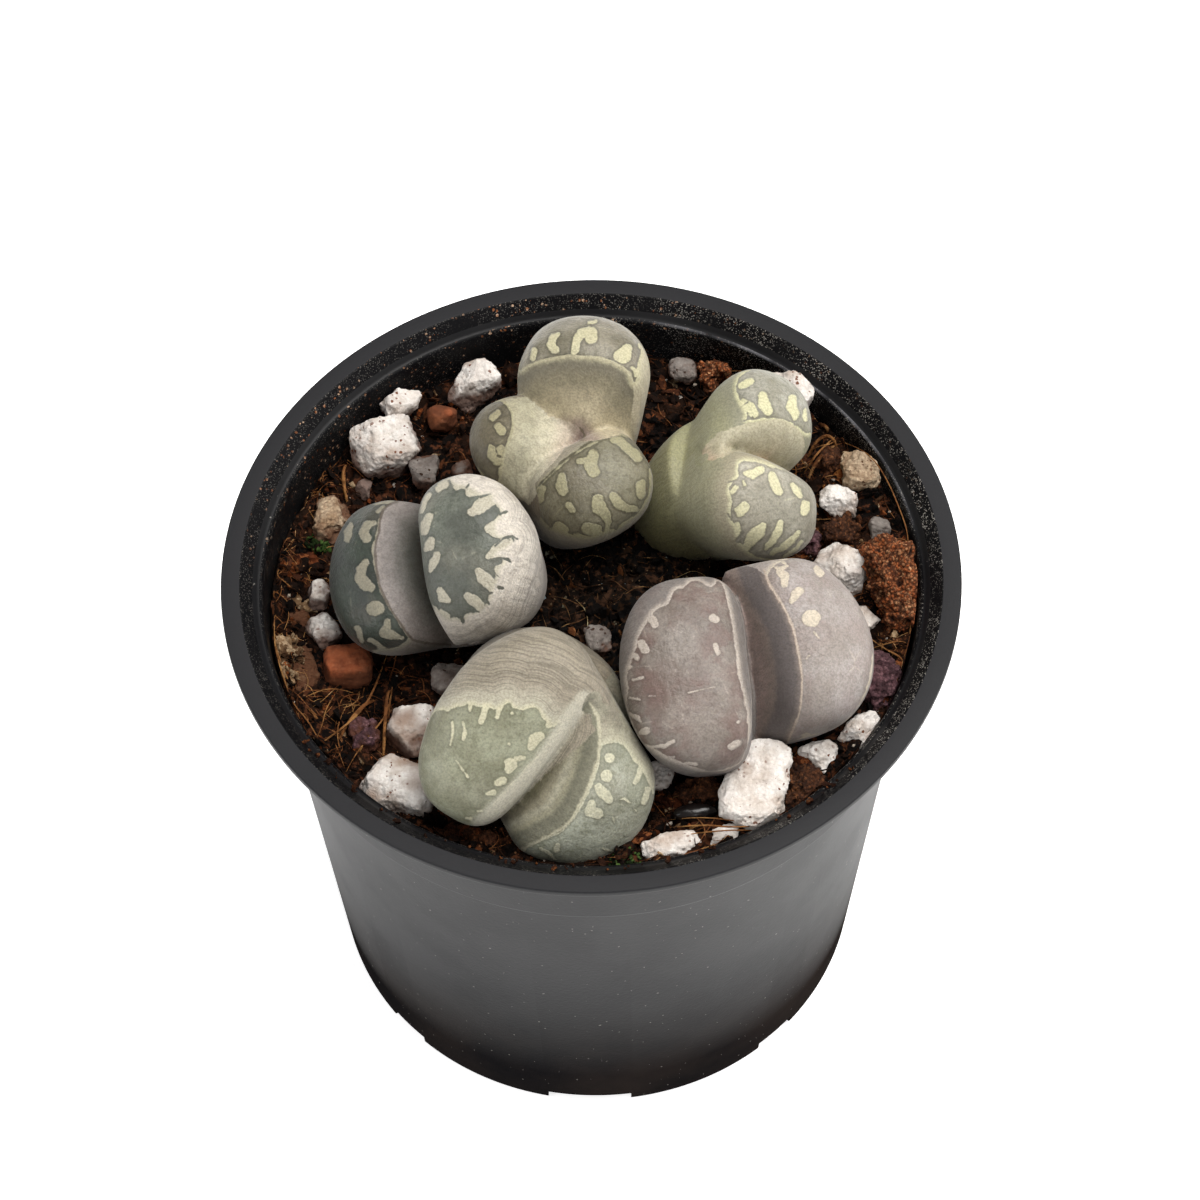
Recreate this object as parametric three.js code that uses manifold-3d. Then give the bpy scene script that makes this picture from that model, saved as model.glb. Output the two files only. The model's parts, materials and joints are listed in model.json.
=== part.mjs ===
// Potted lithops: five stone plants in a small black nursery pot, with perlite, clay, bark and coir
// on the soil. Millimetres, +Z up. The origin is the centre of the pot's foot, on the ground, and
// +Y points away from the viewer.
import * as THREE from 'three';
import { mergeVertices } from 'three/addons/utils/BufferGeometryUtils.js';
import Module from 'manifold-3d';

const wasm = await Module();
wasm.setup();

// ---- driving dimensions ----
const gap = 0.3; // clearance between pieces that touch
const rimRadius = 38; // outer edge of the flat rim
const rimTop = 62.4; // height of the pot
const rimInner = 36; // where the flat rim ends and the sloping shelf starts
const shelfEdge = 33.9; // inner edge of the shelf
const shelfDrop = 2; // how far the shelf slopes down
const throatTop = 59.8; // height where the inner wall starts, under the rounded shelf edge
const lip = 0.9; // thickness of the rim's outer edge
const wall = 0.8;
const flareEdge = 36.2; // radius where the rim's underside meets the flare that carries the shelf
const flareFoot = 59.5; // height where the collar starts to flare out
const collarTop = 34.5; // outer radius of the collar band, at the foot of the flare
const collarFoot = 33.9; // outer radius of the collar band, at its lower edge
const collarHeight = 12.2;
const stepIn = 0.8; // how far the wall steps in under the collar
const footRadius = 29.1;
const floorUnder = 2; // height of the floor's underside above the ground
const floorThickness = 1.2;
const notchCount = 8;
const notchHeight = 1.6;
const wideNotch = 9.2; // every second notch
const narrowNotch = 5;
const notchTurn = -92.5; // direction of the first wide notch, in degrees
const drainCircle = 21; // radius of the circle that the drain holes stand on
const drainHole = 5;
const potSides = 48;

const soilLevel = 56.6;
const soilDepth = 6; // height of the soil's underside
const soilRings = 11;
const soilSides = 48;

// ---- colours ----
const potBlack = { color: 0x232326, roughness: 0.5 };
const soilBrown = { color: 0x1c130d, roughness: 0.95 };
const perliteWhite = { color: 0xe6e2de, roughness: 0.9 };
const perliteCream = { color: 0xdccfb6, roughness: 0.9 };
const perliteGrey = { color: 0xa79f98, roughness: 0.9 };
const clayRed = { color: 0x9a5032, roughness: 0.85 };
const clayOrange = { color: 0x9c5a30, roughness: 0.95 };
const lavaPurple = { color: 0x5b3f44, roughness: 0.95 };
const barkBrown = { color: 0x4a2c1c, roughness: 0.9 };
const chipTan = { color: 0xa58a6c, roughness: 0.9 };
const seedBlack = { color: 0x14100f, roughness: 0.25 };
const fibreGold = { color: 0xa8713c, roughness: 0.8 };

const part = new THREE.Group();

function rad(degrees) {
  return degrees * Math.PI / 180;
}

// ---- solids ----
function toSolid(geometry) {
  const bare = geometry.clone();
  bare.deleteAttribute('normal');
  bare.deleteAttribute('uv');
  const merged = mergeVertices(bare, 1e-4);
  return new wasm.Manifold(new wasm.Mesh({
    numProp: 3,
    vertProperties: new Float32Array(merged.attributes.position.array),
    triVerts: new Uint32Array(merged.index.array),
  }));
}

function toGeometry(solid) {
  const mesh = solid.getMesh();
  const geometry = new THREE.BufferGeometry();
  geometry.setAttribute('position', new THREE.BufferAttribute(new Float32Array(mesh.vertProperties), 3));
  geometry.setIndex(new THREE.BufferAttribute(new Uint32Array(mesh.triVerts), 1));
  geometry.computeVertexNormals();
  return geometry;
}

function addPart(name, solid, finish) {
  const material = new THREE.MeshStandardMaterial({ ...finish, metalness: 0 });
  const mesh = new THREE.Mesh(toGeometry(solid), material);
  mesh.name = name;
  part.add(mesh);
}

// moves every vertex of a geometry by a rule
function warp(geometry, rule) {
  const position = geometry.attributes.position;
  const point = new THREE.Vector3();
  for (let i = 0; i < position.count; i += 1) {
    point.fromBufferAttribute(position, i);
    rule(point);
    position.setXYZ(i, point.x, point.y, point.z);
  }
  return geometry;
}

// smooth lumpy field from -1 to 1, the same for the same seed
function lumps(x, y, z, seed) {
  const a = Math.sin(2.1 * x + 1.7 * seed) * Math.cos(1.8 * y - 2.3 * seed);
  const b = Math.sin(2.6 * y + 0.9 * seed + 1.3 * z) * Math.cos(2.2 * x + 3.1 * seed);
  const c = Math.sin(2.9 * z - 1.1 * seed) * Math.cos(2.4 * y + 0.7 * seed + x);
  return (a + b + c) / 2;
}

// ---- pot ----
const collarBottom = rimTop - collarHeight;
const floorTop = floorUnder + floorThickness;
const innerWall = [ // radius and height, from the floor up, with the step behind the collar
  [footRadius - wall - 1.2, floorTop],
  [footRadius - wall, floorTop + 2],
  [collarFoot - stepIn - wall, collarBottom - 0.6],
  [collarFoot - wall, collarBottom + 0.5],
  [shelfEdge - 0.2, throatTop],
];

function wallInner(z) {
  for (let i = 1; i < innerWall.length; i += 1) {
    const [r0, z0] = innerWall[i - 1];
    const [r1, z1] = innerWall[i];
    if (z <= z1) {
      return r0 + (r1 - r0) * (z - z0) / (z1 - z0);
    }
  }
  return innerWall[innerWall.length - 1][0];
}

function makePot() {
  const outline = [
    [0, floorUnder],
    [footRadius - 1.6, floorUnder],
    [footRadius - 1.1, 0],
    [footRadius - 0.3, 0],
    [footRadius, 0.4],
    [collarFoot - stepIn, collarBottom - 0.8],
    [collarFoot, collarBottom],
    [collarTop, flareFoot],
    [flareEdge, rimTop - lip],
    [rimRadius, rimTop - lip],
    [rimRadius, rimTop - 0.3],
    [rimRadius - 0.3, rimTop],
    [rimInner, rimTop],
    [shelfEdge, rimTop - shelfDrop],
    ...innerWall.toReversed(),
    [0, floorTop],
  ];
  const profile = outline.map(([r, z]) => new THREE.Vector2(r, z));
  const body = new THREE.LatheGeometry(profile, potSides);
  body.rotateX(Math.PI / 2);
  let pot = toSolid(body);
  for (let i = 0; i < notchCount; i += 1) {
    const turn = rad(notchTurn + i * 360 / notchCount);
    const width = i % 2 === 0 ? wideNotch : narrowNotch;
    const notch = new THREE.BoxGeometry(6, width, 2 * notchHeight);
    notch.translate(footRadius, 0, 0);
    notch.rotateZ(turn);
    pot = pot.subtract(toSolid(notch));
    const drain = new THREE.CylinderGeometry(drainHole / 2, drainHole / 2, 3 * floorUnder, 10);
    drain.rotateX(Math.PI / 2);
    drain.translate(drainCircle, 0, floorUnder);
    drain.rotateZ(turn);
    pot = pot.subtract(toSolid(drain));
  }
  return pot;
}

// ---- lithops ----
// A lobe is one fat leaf: a flat dome on top, a D-shaped outline (its straight side in the cleft) and
// a body that narrows to the root. Its sizes: half = half its width along the cleft, out = how far it
// reaches from the cleft, bulge = how far its cleft side swells, dome = height above the shoulder,
// long = depth below the shoulder, ridge = how far out its crest lies, as a share of out. The rest
// are exponents: a small one is pointed, a large one is boxy. Its place: turn = its direction,
// tilt = how far it leans out, slide = how far it lies along the cleft, lift = how much higher it is.
const lobeShape = { long: 20, shoulder: 2.5, taper: 1.5, flat: 3.6, round: 2.1, ridge: 0.4 };
const headSides = 16; // how finely a lobe is cut, round it and from its top to its root
const headRings = 10;
const holeSides = 12; // the same for the hole that a plant stands in
const holeRings = 8;
const holeSpare = 0.7;

function power(value, exponent) {
  return Math.sign(value) * Math.pow(Math.abs(value), exponent);
}

function lobeGeometry(lobe, grow, around, along) {
  const ball = new THREE.SphereGeometry(1, around, along);
  ball.rotateX(Math.PI / 2);
  const centre = lobe.ridge * lobe.out;
  return warp(ball, (p) => {
    const turn = Math.atan2(p.y, p.x);
    const drop = Math.acos(THREE.MathUtils.clamp(p.z, -1, 1));
    const above = drop < Math.PI / 2;
    const sharp = above ? lobe.shoulder : lobe.taper;
    const ring = power(Math.abs(Math.sin(drop)), 2 / sharp);
    const rise = power(Math.abs(Math.cos(drop)), 2 / sharp);
    const side = Math.cos(turn) < 0 ? lobe.flat : lobe.round;
    const across = power(Math.cos(turn), 2 / side);
    const beside = power(Math.sin(turn), 2 / side);
    const reach = (across < 0 ? centre + lobe.bulge : lobe.out - centre) + grow;
    p.x = centre * (above ? 1 : 1 - 0.9 * rise) + reach * across * ring;
    p.y = (lobe.half + grow) * beside * ring;
    p.z = above ? (lobe.dome + grow) * rise : -(lobe.long + grow) * rise;
  });
}

// the plump body under the lobes, which they grow from
function bodyLobe(radius, long) {
  return {
    half: radius, out: radius, bulge: radius, dome: 1, long, flat: 2.1, ridge: 0, turn: 0, tilt: 0, slide: 0,
  };
}

function headSolid(head, grow, around, along) {
  const lobes = [...head.lobes, { ...bodyLobe(head.body, head.root), lift: -head.under }];
  let solid = null;
  for (const detail of lobes) {
    const lobe = { ...lobeShape, ...detail };
    const geometry = lobeGeometry(lobe, grow, around, along);
    geometry.translate(0, lobe.slide, head.cleft); // the lobe leans out from the bottom of the cleft
    geometry.rotateY(rad(lobe.tilt));
    geometry.translate(0, 0, lobe.lift - head.cleft);
    geometry.rotateZ(rad(lobe.turn));
    const piece = toSolid(geometry);
    solid = solid ? solid.add(piece) : piece;
  }
  const leanAxis = new THREE.Vector3(-Math.sin(rad(head.leanTo)), Math.cos(rad(head.leanTo)), 0);
  const place = new THREE.Matrix4().makeRotationAxis(leanAxis, rad(head.lean));
  place.multiply(new THREE.Matrix4().makeRotationZ(rad(head.turn)));
  place.setPosition(...head.at);
  return solid.transform(place.elements);
}

// at = centre of the face at shoulder height; lean and leanTo = how far and which way the plant leans;
// turn = direction of its lobes; cleft = depth of the cleft; body = radius of the body, root = its length and
// under = how far under the shoulder it starts
const heads = [
  {
    name: 'lithops_left', at: [-16.1, -2.1, 67.5], lean: 36, leanTo: 219, turn: 4,
    cleft: 7.2, body: 8, root: 13.5, under: 6,
    lobes: [
      { turn: -2, tilt: 2, half: 8.2, out: 10.8, bulge: 0.6, dome: 5.8, slide: -0.2, lift: -0.8 },
      { turn: 177, tilt: 17, half: 7.9, out: 10.2, bulge: 0.8, dome: 5.4, slide: 0.3, lift: 0 },
    ],
    finish: { color: 0x7d8575, roughness: 0.6 },
  },
  {
    name: 'lithops_back', at: [-2.5, 14.1, 67], lean: 4.4, leanTo: 135, turn: -6,
    cleft: 8.4, body: 5.6, root: 10.7, under: 8,
    lobes: [
      { turn: 82, tilt: 17, half: 6.7, out: 10, bulge: 0.7, dome: 5.8, slide: -0.9, lift: 3.5 },
      { turn: 193, tilt: 21, half: 4.8, out: 6.7, bulge: 1.7, dome: 5.2, slide: 0, lift: 0 },
      { turn: -52, tilt: 21, half: 6.3, out: 8.8, bulge: 1.6, dome: 5.4, slide: -0.7, lift: -0.9 },
    ],
    finish: { color: 0x8a8c70, roughness: 0.6 },
  },
  {
    name: 'lithops_right_back', at: [17.8, 10.6, 66], lean: 40, leanTo: -5, turn: 89,
    cleft: 8, body: 7.5, root: 14.5, under: 6,
    lobes: [
      { turn: 6, tilt: 11, half: 5.5, out: 8.5, bulge: 1.5, dome: 5.4, slide: 0, lift: 0.3 },
      { turn: 180, tilt: 11, half: 6.9, out: 8.8, bulge: 1.1, dome: 4.9, slide: 0, lift: -0.3 },
    ],
    finish: { color: 0x7c8065, roughness: 0.6 },
  },
  {
    name: 'lithops_right', at: [15.5, -13.6, 67], lean: 18, leanTo: -45, turn: 13,
    cleft: 6.4, body: 7.8, root: 15, under: 6,
    lobes: [
      { turn: 5, tilt: 15, half: 9.1, out: 11.4, bulge: 0.7, dome: 6.5, slide: 0, lift: -0.4 },
      { turn: 172, tilt: 8, half: 9.6, out: 12, bulge: 0.9, dome: 4.6, slide: 1.2, lift: -0.6 },
    ],
    finish: { color: 0x877c7b, roughness: 0.6 },
  },
  {
    name: 'lithops_front', at: [-5.1, -23.7, 65.5], lean: 56, leanTo: -84, turn: -34,
    cleft: 7.9, body: 9.3, root: 18.6, under: 6,
    lobes: [
      { turn: -4, tilt: 17, half: 7.8, out: 11.1, bulge: 1.3, dome: 6.2, slide: -1.8, lift: 0 },
      { turn: 182, tilt: 8, half: 10.7, out: 10.5, bulge: 1.8, dome: 5.1, slide: -0.3, lift: 0.4 },
    ],
    finish: { color: 0x7f8a78, roughness: 0.6 },
  },
];

// ---- soil surface ----
// height of the soil: a little higher on the right, lower at the back, and lumpy all over
function soilHeight(x, y) {
  const slope = 1.2 * x / 33 - 0.5 * y / 33;
  const coarse = 0.55 * lumps(x / 5.5, y / 5.5, 0, 3);
  const fine = 0.3 * lumps(x / 2.1, y / 2.1, 0.5, 7);
  return soilLevel + slope + coarse + fine;
}

function soilBody() {
  const edge = wallInner(soilLevel - 1.5) - gap;
  const outline = [[0, soilDepth], [wallInner(soilDepth) - gap, soilDepth]];
  for (const height of [collarBottom - 0.6, collarBottom + 0.5]) {
    outline.push([wallInner(height) - gap, height + 2 * gap]);
  }
  for (let i = 0; i <= soilRings; i += 1) {
    outline.push([edge * (1 - i / soilRings), soilLevel]);
  }
  const body = new THREE.LatheGeometry(outline.map(([r, z]) => new THREE.Vector2(r, z)), soilSides);
  body.rotateX(Math.PI / 2);
  warp(body, (p) => {
    if (p.z > soilLevel - 1) {
      p.z = soilHeight(p.x, p.y);
    }
  });
  return toSolid(body);
}

// ---- lumps lying in the soil ----
// a lump: x, y = place; rise = how far its centre lies over the soil; size = width, depth and
// height; turn = degrees about the upright; rough = how uneven; fine = how finely it is cut;
// seed = which shape it draws
const plainLump = { turn: 0, fine: 1 };
const pocketSides = 6;
const pocketOpen = 6; // how far the cut for a lump runs up over the lump's centre
const pocketSpare = 1.5 * gap;

function bareSphere(fine) {
  const ball = new THREE.IcosahedronGeometry(1, fine);
  ball.deleteAttribute('normal');
  ball.deleteAttribute('uv');
  return mergeVertices(ball, 1e-4);
}

function lumpSolid(lump) {
  const ball = bareSphere(lump.fine);
  const [width, depth, height] = lump.size;
  const z = soilHeight(lump.x, lump.y) + lump.rise;
  const turn = rad(lump.turn);
  warp(ball, (p) => {
    const swell = 1 + lump.rough * lumps(p.x * 1.3, p.y * 1.3, p.z * 1.3, lump.seed);
    const x = p.x * swell * (width / 2);
    const y = p.y * swell * (depth / 2);
    p.set(
      lump.x + x * Math.cos(turn) - y * Math.sin(turn),
      lump.y + x * Math.sin(turn) + y * Math.cos(turn),
      z + p.z * swell * (height / 2),
    );
    // what would reach the pot leans on its wall
    const limit = p.z < rimTop + gap ? wallInner(p.z) - pocketSpare : rimRadius;
    const radius = Math.hypot(p.x, p.y);
    if (radius > limit) {
      p.x *= limit / radius;
      p.y *= limit / radius;
    }
  });
  return toSolid(ball);
}

// the plain six-sided hole that a lump lies in, a gap larger all round
function pocketSolid(lump) {
  const [width, depth, height] = lump.size;
  const swell = 1.08 + lump.rough; // the corners of six sides clear the lump's bumps
  const under = swell * height / 2 + gap;
  const hole = new THREE.CylinderGeometry(1, 1, pocketOpen + under, pocketSides);
  hole.rotateX(Math.PI / 2);
  hole.scale(swell * width / 2 + pocketSpare, swell * depth / 2 + pocketSpare, 1);
  hole.translate(0, 0, (pocketOpen - under) / 2);
  hole.rotateZ(rad(lump.turn));
  hole.translate(lump.x, lump.y, soilHeight(lump.x, lump.y) + lump.rise);
  return toSolid(hole);
}

const perlite = [
  { x: -21.5, y: 20.3, rise: 1.4, size: [7, 6, 5], turn: 10, fine: 2 },
  { x: -19.8, y: 25.3, rise: 2.2, size: [4.4, 2.6, 3.4], turn: 30 },
  { x: -12.2, y: 28.2, rise: 1.2, size: [5, 4.6, 4.2] },
  { x: -17.2, y: 17, rise: 0.8, size: [3.4, 3.6, 3.2], finish: perliteGrey },
  { x: -23.9, y: 15.6, rise: 0.6, size: [1.7, 2.4, 2] },
  { x: -27.2, y: 10.8, rise: 1.1, size: [3.8, 5, 3.4], turn: -15, finish: perliteCream },
  { x: -28.4, y: 1.4, rise: 0.8, size: [2.4, 3, 2.8] },
  { x: -27.8, y: -3, rise: 0.8, size: [3.2, 3.2, 2.8], turn: 20 },
  { x: -13.4, y: 17, rise: 0.4, size: [2, 2.2, 1.8], finish: perliteGrey },
  { x: -18.6, y: -15.2, rise: 0.8, size: [4.2, 7.4, 3.6], turn: -20 },
  { x: -19.7, y: -22.8, rise: 1.2, size: [6.8, 5.2, 4.2], turn: -20, fine: 2 },
  { x: -14.8, y: -9.5, rise: 0.4, size: [3, 3.6, 2.6], finish: perliteGrey },
  { x: 0.6, y: -5.2, rise: 0.6, size: [2.5, 3.6, 2.6], finish: perliteGrey },
  { x: 10.6, y: 29.4, rise: 0.8, size: [3.2, 2.8, 2.4], finish: perliteGrey },
  { x: 21.4, y: 24, rise: 3.2, size: [4.6, 4.6, 4.6] },
  { x: 29, y: 14.2, rise: 1.8, size: [4.8, 3.8, 3.6], turn: 10, rough: 0.2, finish: perliteCream },
  { x: 26.3, y: 10.6, rise: 1.1, size: [4.2, 3.4, 3.2], turn: 10 },
  { x: 30.2, y: 6.9, rise: 0.8, size: [2.4, 2.2, 2.2], finish: perliteGrey },
  { x: 25.7, y: 2, rise: 0.8, size: [5.6, 5, 4], turn: -25, fine: 2 },
  { x: 27.6, y: -4.6, rise: 0.6, size: [3, 3, 2.6] },
  { x: 22.6, y: -20.6, rise: 0.6, size: [4, 3.2, 3], turn: -10 },
  { x: 27, y: -18, rise: 0.8, size: [4.4, 4, 3.4], turn: -35 },
  { x: 16, y: -24.6, rise: 1.1, size: [5.4, 8.2, 4], turn: -12, fine: 2 },
  { x: 6.3, y: -21.6, rise: 0.4, size: [2.6, 3.6, 2.6] },
  { x: 7.6, y: -30.6, rise: 1, size: [5.8, 2.4, 2.6], turn: 10 },
  { x: 13, y: -29.3, rise: 0.8, size: [4.2, 2.2, 2.2], turn: 15 },
];

const lumpsOnSoil = [
  { name: 'clay_pebble', x: -25.2, y: -7.4, rise: 1, size: [4.8, 4, 3.4], rough: 0.03, fine: 2,
    finish: clayRed },
  { name: 'clay_clod', x: 31.2, y: -0.6, rise: 2, size: [5.6, 11.5, 6.4], turn: 8, fine: 2,
    finish: clayOrange },
  { name: 'clay_crumb_back', x: 13.6, y: 28.6, rise: 0.8, size: [2.8, 2.6, 2.4], finish: clayOrange },
  { name: 'lava_right', x: 28.7, y: -12.3, rise: 0.8, size: [5, 4.8, 4.6], fine: 2, finish: lavaPurple },
  { name: 'lava_middle', x: 22.8, y: 6.3, rise: 0.4, size: [2.2, 2.4, 2.4], finish: lavaPurple },
  { name: 'bark_back', x: -15.7, y: 24.4, rise: 0.8, size: [3, 2.4, 2.6], finish: clayRed },
  { name: 'bark_right', x: 26.2, y: 7.2, rise: 0.8, size: [3.4, 2.6, 2.8], rough: 0.15,
    finish: barkBrown },
  { name: 'bark_right_back', x: 25.4, y: 16.4, rise: 0.6, size: [2.6, 3, 2.4], finish: barkBrown },
  { name: 'bark_right_front', x: 20.8, y: -24.3, rise: 0.6, size: [3.4, 4.6, 3], finish: barkBrown },
  { name: 'bark_front', x: -12.8, y: -28.4, rise: 0.3, size: [7.5, 2.2, 1.8], turn: -18,
    finish: barkBrown },
  { name: 'coir_lump', x: 10.2, y: -23.4, rise: 0.2, size: [4.6, 3, 2.4], finish: barkBrown },
  { name: 'seed', x: 9.9, y: -26.6, rise: 0.8, size: [4.6, 2, 2], turn: 4, rough: 0.02, fine: 2,
    finish: seedBlack },
  { name: 'wood_chip', x: -30.2, y: -0.9, rise: 0.4, size: [2.6, 1.8, 1.4], turn: -20,
    finish: chipTan },
  { name: 'husk', x: -30, y: -7.6, rise: 0.4, size: [3.2, 5.6, 1.4], turn: 20, rough: 0.1,
    finish: chipTan },
  { name: 'stone_chip', x: -23.2, y: -16.3, rise: 0.5, size: [2.4, 4, 2.2], turn: 10,
    finish: lavaPurple },
];

// ---- coir fibres lying over the soil ----
const fibreRadius = 0.3;
const fibreSteps = 9;

// way = points over the soil: x, y and height; both ends go down into the soil
const fibres = [
  { name: 'fibre_left_1',
    way: [[-22, -10.6, -1.6], [-22.6, -11.4, 0.9], [-24.6, -14, 1.3], [-26.2, -17, 0.9], [-26.8, -18.2, -1.6]] },
  { name: 'fibre_left_2',
    way: [[-29.8, -11.2, -1.4], [-29.4, -12, 0.7], [-27.9, -14.2, 1.2], [-27, -16, -1.2]] },
  { name: 'fibre_left_3',
    way: [[-21, -9.4, -1.6], [-20.9, -10.2, 0.9], [-21.2, -13, 1.2], [-21.3, -18, 0.9], [-21.6, -19.2, -1.4]] },
  { name: 'fibre_back',
    way: [[-25.4, 13.6, -1.4], [-25.9, 14.6, 0.9], [-26.2, 16.6, 1.2], [-25.9, 18.6, 1], [-25.8, 19.2, -1]] },
  { name: 'fibre_right',
    way: [[23, 17.6, -1.4], [23.6, 18.4, 0.9], [25.2, 19.4, 1.6], [26.2, 18.9, 1], [26.6, 18.5, -1]] },
];

function fibreSolid(fibre, radius) {
  const points = fibre.way.map(([x, y, over]) => new THREE.Vector3(x, y, soilHeight(x, y) + over));
  const section = new THREE.Shape();
  section.absarc(0, 0, radius, 0, 2 * Math.PI, false);
  const tube = new THREE.ExtrudeGeometry(section, {
    curveSegments: 3, // gives six sides
    steps: fibreSteps,
    extrudePath: new THREE.CatmullRomCurve3(points),
  });
  return toSolid(tube);
}

// ---- assembly ----
let soil = soilBody();

for (const head of heads) {
  soil = soil.subtract(headSolid(head, holeSpare, holeSides, holeRings));
  addPart(head.name, headSolid(head, 0, headSides, headRings), head.finish);
}

perlite.forEach((piece, i) => {
  const name = `perlite_${String(i + 1).padStart(2, '0')}`;
  const lump = { ...plainLump, rough: 0.12, finish: perliteWhite, ...piece, seed: i + 1 };
  soil = soil.subtract(pocketSolid(lump));
  addPart(name, lumpSolid(lump), lump.finish);
});

lumpsOnSoil.forEach((piece, i) => {
  const lump = { ...plainLump, rough: 0.2, ...piece, seed: perlite.length + i + 5 };
  soil = soil.subtract(pocketSolid(lump));
  addPart(lump.name, lumpSolid(lump), lump.finish);
});

for (const fibre of fibres) {
  soil = soil.subtract(fibreSolid(fibre, fibreRadius + gap));
  addPart(fibre.name, fibreSolid(fibre, fibreRadius), fibreGold);
}

addPart('soil', soil, soilBrown);
addPart('pot', makePot(), potBlack);

export default part;
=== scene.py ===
import json
import math
import random

import bmesh
import bpy
import numpy as np
from mathutils import Euler, Matrix, Vector, noise
from mathutils.bvhtree import BVHTree


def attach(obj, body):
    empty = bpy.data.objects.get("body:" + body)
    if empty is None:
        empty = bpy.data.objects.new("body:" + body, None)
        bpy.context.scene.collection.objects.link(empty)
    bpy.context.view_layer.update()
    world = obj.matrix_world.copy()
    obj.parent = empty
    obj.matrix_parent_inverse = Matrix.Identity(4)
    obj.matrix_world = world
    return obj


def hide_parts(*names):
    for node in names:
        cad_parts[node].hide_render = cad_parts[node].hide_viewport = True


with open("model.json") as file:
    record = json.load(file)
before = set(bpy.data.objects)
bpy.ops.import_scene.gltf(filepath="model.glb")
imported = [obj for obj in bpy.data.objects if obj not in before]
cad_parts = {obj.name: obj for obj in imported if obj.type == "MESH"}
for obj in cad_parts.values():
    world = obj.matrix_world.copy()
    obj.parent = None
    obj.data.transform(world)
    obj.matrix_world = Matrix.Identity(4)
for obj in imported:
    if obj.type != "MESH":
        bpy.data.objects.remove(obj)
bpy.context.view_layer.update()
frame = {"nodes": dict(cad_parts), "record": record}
mm = 0.001

view = {"lens": 120, "sensor": 36, "elevation": 55.7, "roll": -1.1, "distance": 410.4, "aimAside": -0.0021,
        "aimUp": -0.0075, "rimHeight": 62.4, "photoWidth": 1200}
focal = view["lens"] / view["sensor"] * view["photoWidth"]  # in the photograph's pixels
middle = view["photoWidth"] / 2


def cameraAxes():  # place in millimetres, then its right, up and back
    tip = math.radians(view["elevation"])
    back = Vector((0, -math.cos(tip), math.sin(tip)))
    right = Vector((1, 0, 0))
    up = back.cross(right)
    place = back * view["distance"] + Vector((0, 0, view["rimHeight"]))
    aside = Matrix.Rotation(view["aimAside"], 3, up)
    back, right = aside @ back, aside @ right
    lift = Matrix.Rotation(view["aimUp"], 3, right)
    back, up = lift @ back, lift @ up
    roll = Matrix.Rotation(math.radians(view["roll"]), 3, back)
    return place, roll @ right, roll @ up, back


def inRows(numbers, size):
    return [tuple(numbers[i:i + size]) for i in range(0, len(numbers), size)]


def linked(name, data):
    piece = bpy.data.objects.new(name, data)
    bpy.context.collection.objects.link(piece)
    return piece


def makeCamera():
    place, right, up, back = cameraAxes()
    data = bpy.data.cameras.new("camera")
    data.lens = view["lens"]
    data.sensor_width = view["sensor"]
    data.clip_start = 0.01
    data.clip_end = 20
    camera = linked("camera", data)
    turn = Matrix((right, up, back)).transposed().to_4x4()
    camera.matrix_world = Matrix.Translation(place * mm) @ turn
    bpy.context.scene.camera = camera


def toPhoto(points):  # where points in millimetres fall in the photograph
    place, right, up, back = (np.array(v) for v in cameraAxes())
    ray = points - place
    depth = -(ray @ back)
    return np.stack([middle + focal * (ray @ right) / depth, middle - focal * (ray @ up) / depth], 1)


def fromPhoto(x, y, height):  # the point at that height which the photograph shows at x, y
    place, right, up, back = cameraAxes()
    ray = right * ((x - middle) / focal) - up * ((y - middle) / focal) - back
    return place + ray * ((height - place.z) / ray.z)


makeCamera()
print("camera made")

studio = {"floorSize": 6, "floorColour": (0.93, 0.93, 0.93), "glow": 0.72, "world": (1.0, 1.0, 1.0, 1.0),
          "worldPower": 0.2}
lamps = {  # each lamp's place, size, power and colour; it looks at the plants
    "topLight": ((0.24, 0.12, 0.84), (0.7, 0.7), 10.3, (1.0, 0.98, 0.95)),
    "leftStrip": ((-0.75, -0.35, 0.3), (0.16, 0.7), 2.6, (1.0, 1.0, 1.0)),
    "rightStrip": ((0.75, 0.1, 0.35), (0.3, 0.6), 2.0, (1.0, 0.98, 0.95)),
    "frontLight": ((0.14, -0.85, 0.55), (0.2, 0.5), 1.6, (1.0, 1.0, 1.0)),
}


def makeLights():
    for name, (place, size, power, colour) in lamps.items():
        data = bpy.data.lights.new(name, "AREA")
        data.shape = "RECTANGLE"
        data.size, data.size_y = size
        data.energy = power
        data.color = colour
        light = linked(name, data)
        light.location = place
        aim = Vector((0, 0, 0.04)) - light.location
        light.rotation_euler = aim.to_track_quat("-Z", "Y").to_euler()
    world = bpy.data.worlds.new("studio")
    world.use_nodes = True
    sky = {"Color": studio["world"], "Strength": studio["worldPower"]}
    setInputs(world.node_tree.nodes["Background"], sky)
    bpy.context.scene.world = world
    bpy.context.scene.view_settings.view_transform = "Standard"


def hexColour(code, shade=1.0):  # a web colour as linear red, green and blue
    parts = [int(code[i:i + 2], 16) / 255 for i in (0, 2, 4)]
    return tuple(shade * (c / 12.92 if c <= 0.04045 else ((c + 0.055) / 1.055) ** 2.4) for c in parts)


def setInputs(node, inputs):
    for key, value in inputs.items():
        if isinstance(value, Wire):
            node.id_data.links.new(value.socket, node.inputs[key])
        else:
            node.inputs[key].default_value = value


def addNode(tree, kind, inputs, **settings):
    node = tree.nodes.new(kind)
    for key, value in settings.items():
        setattr(node, key, value)
    setInputs(node, inputs)
    return node


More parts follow.
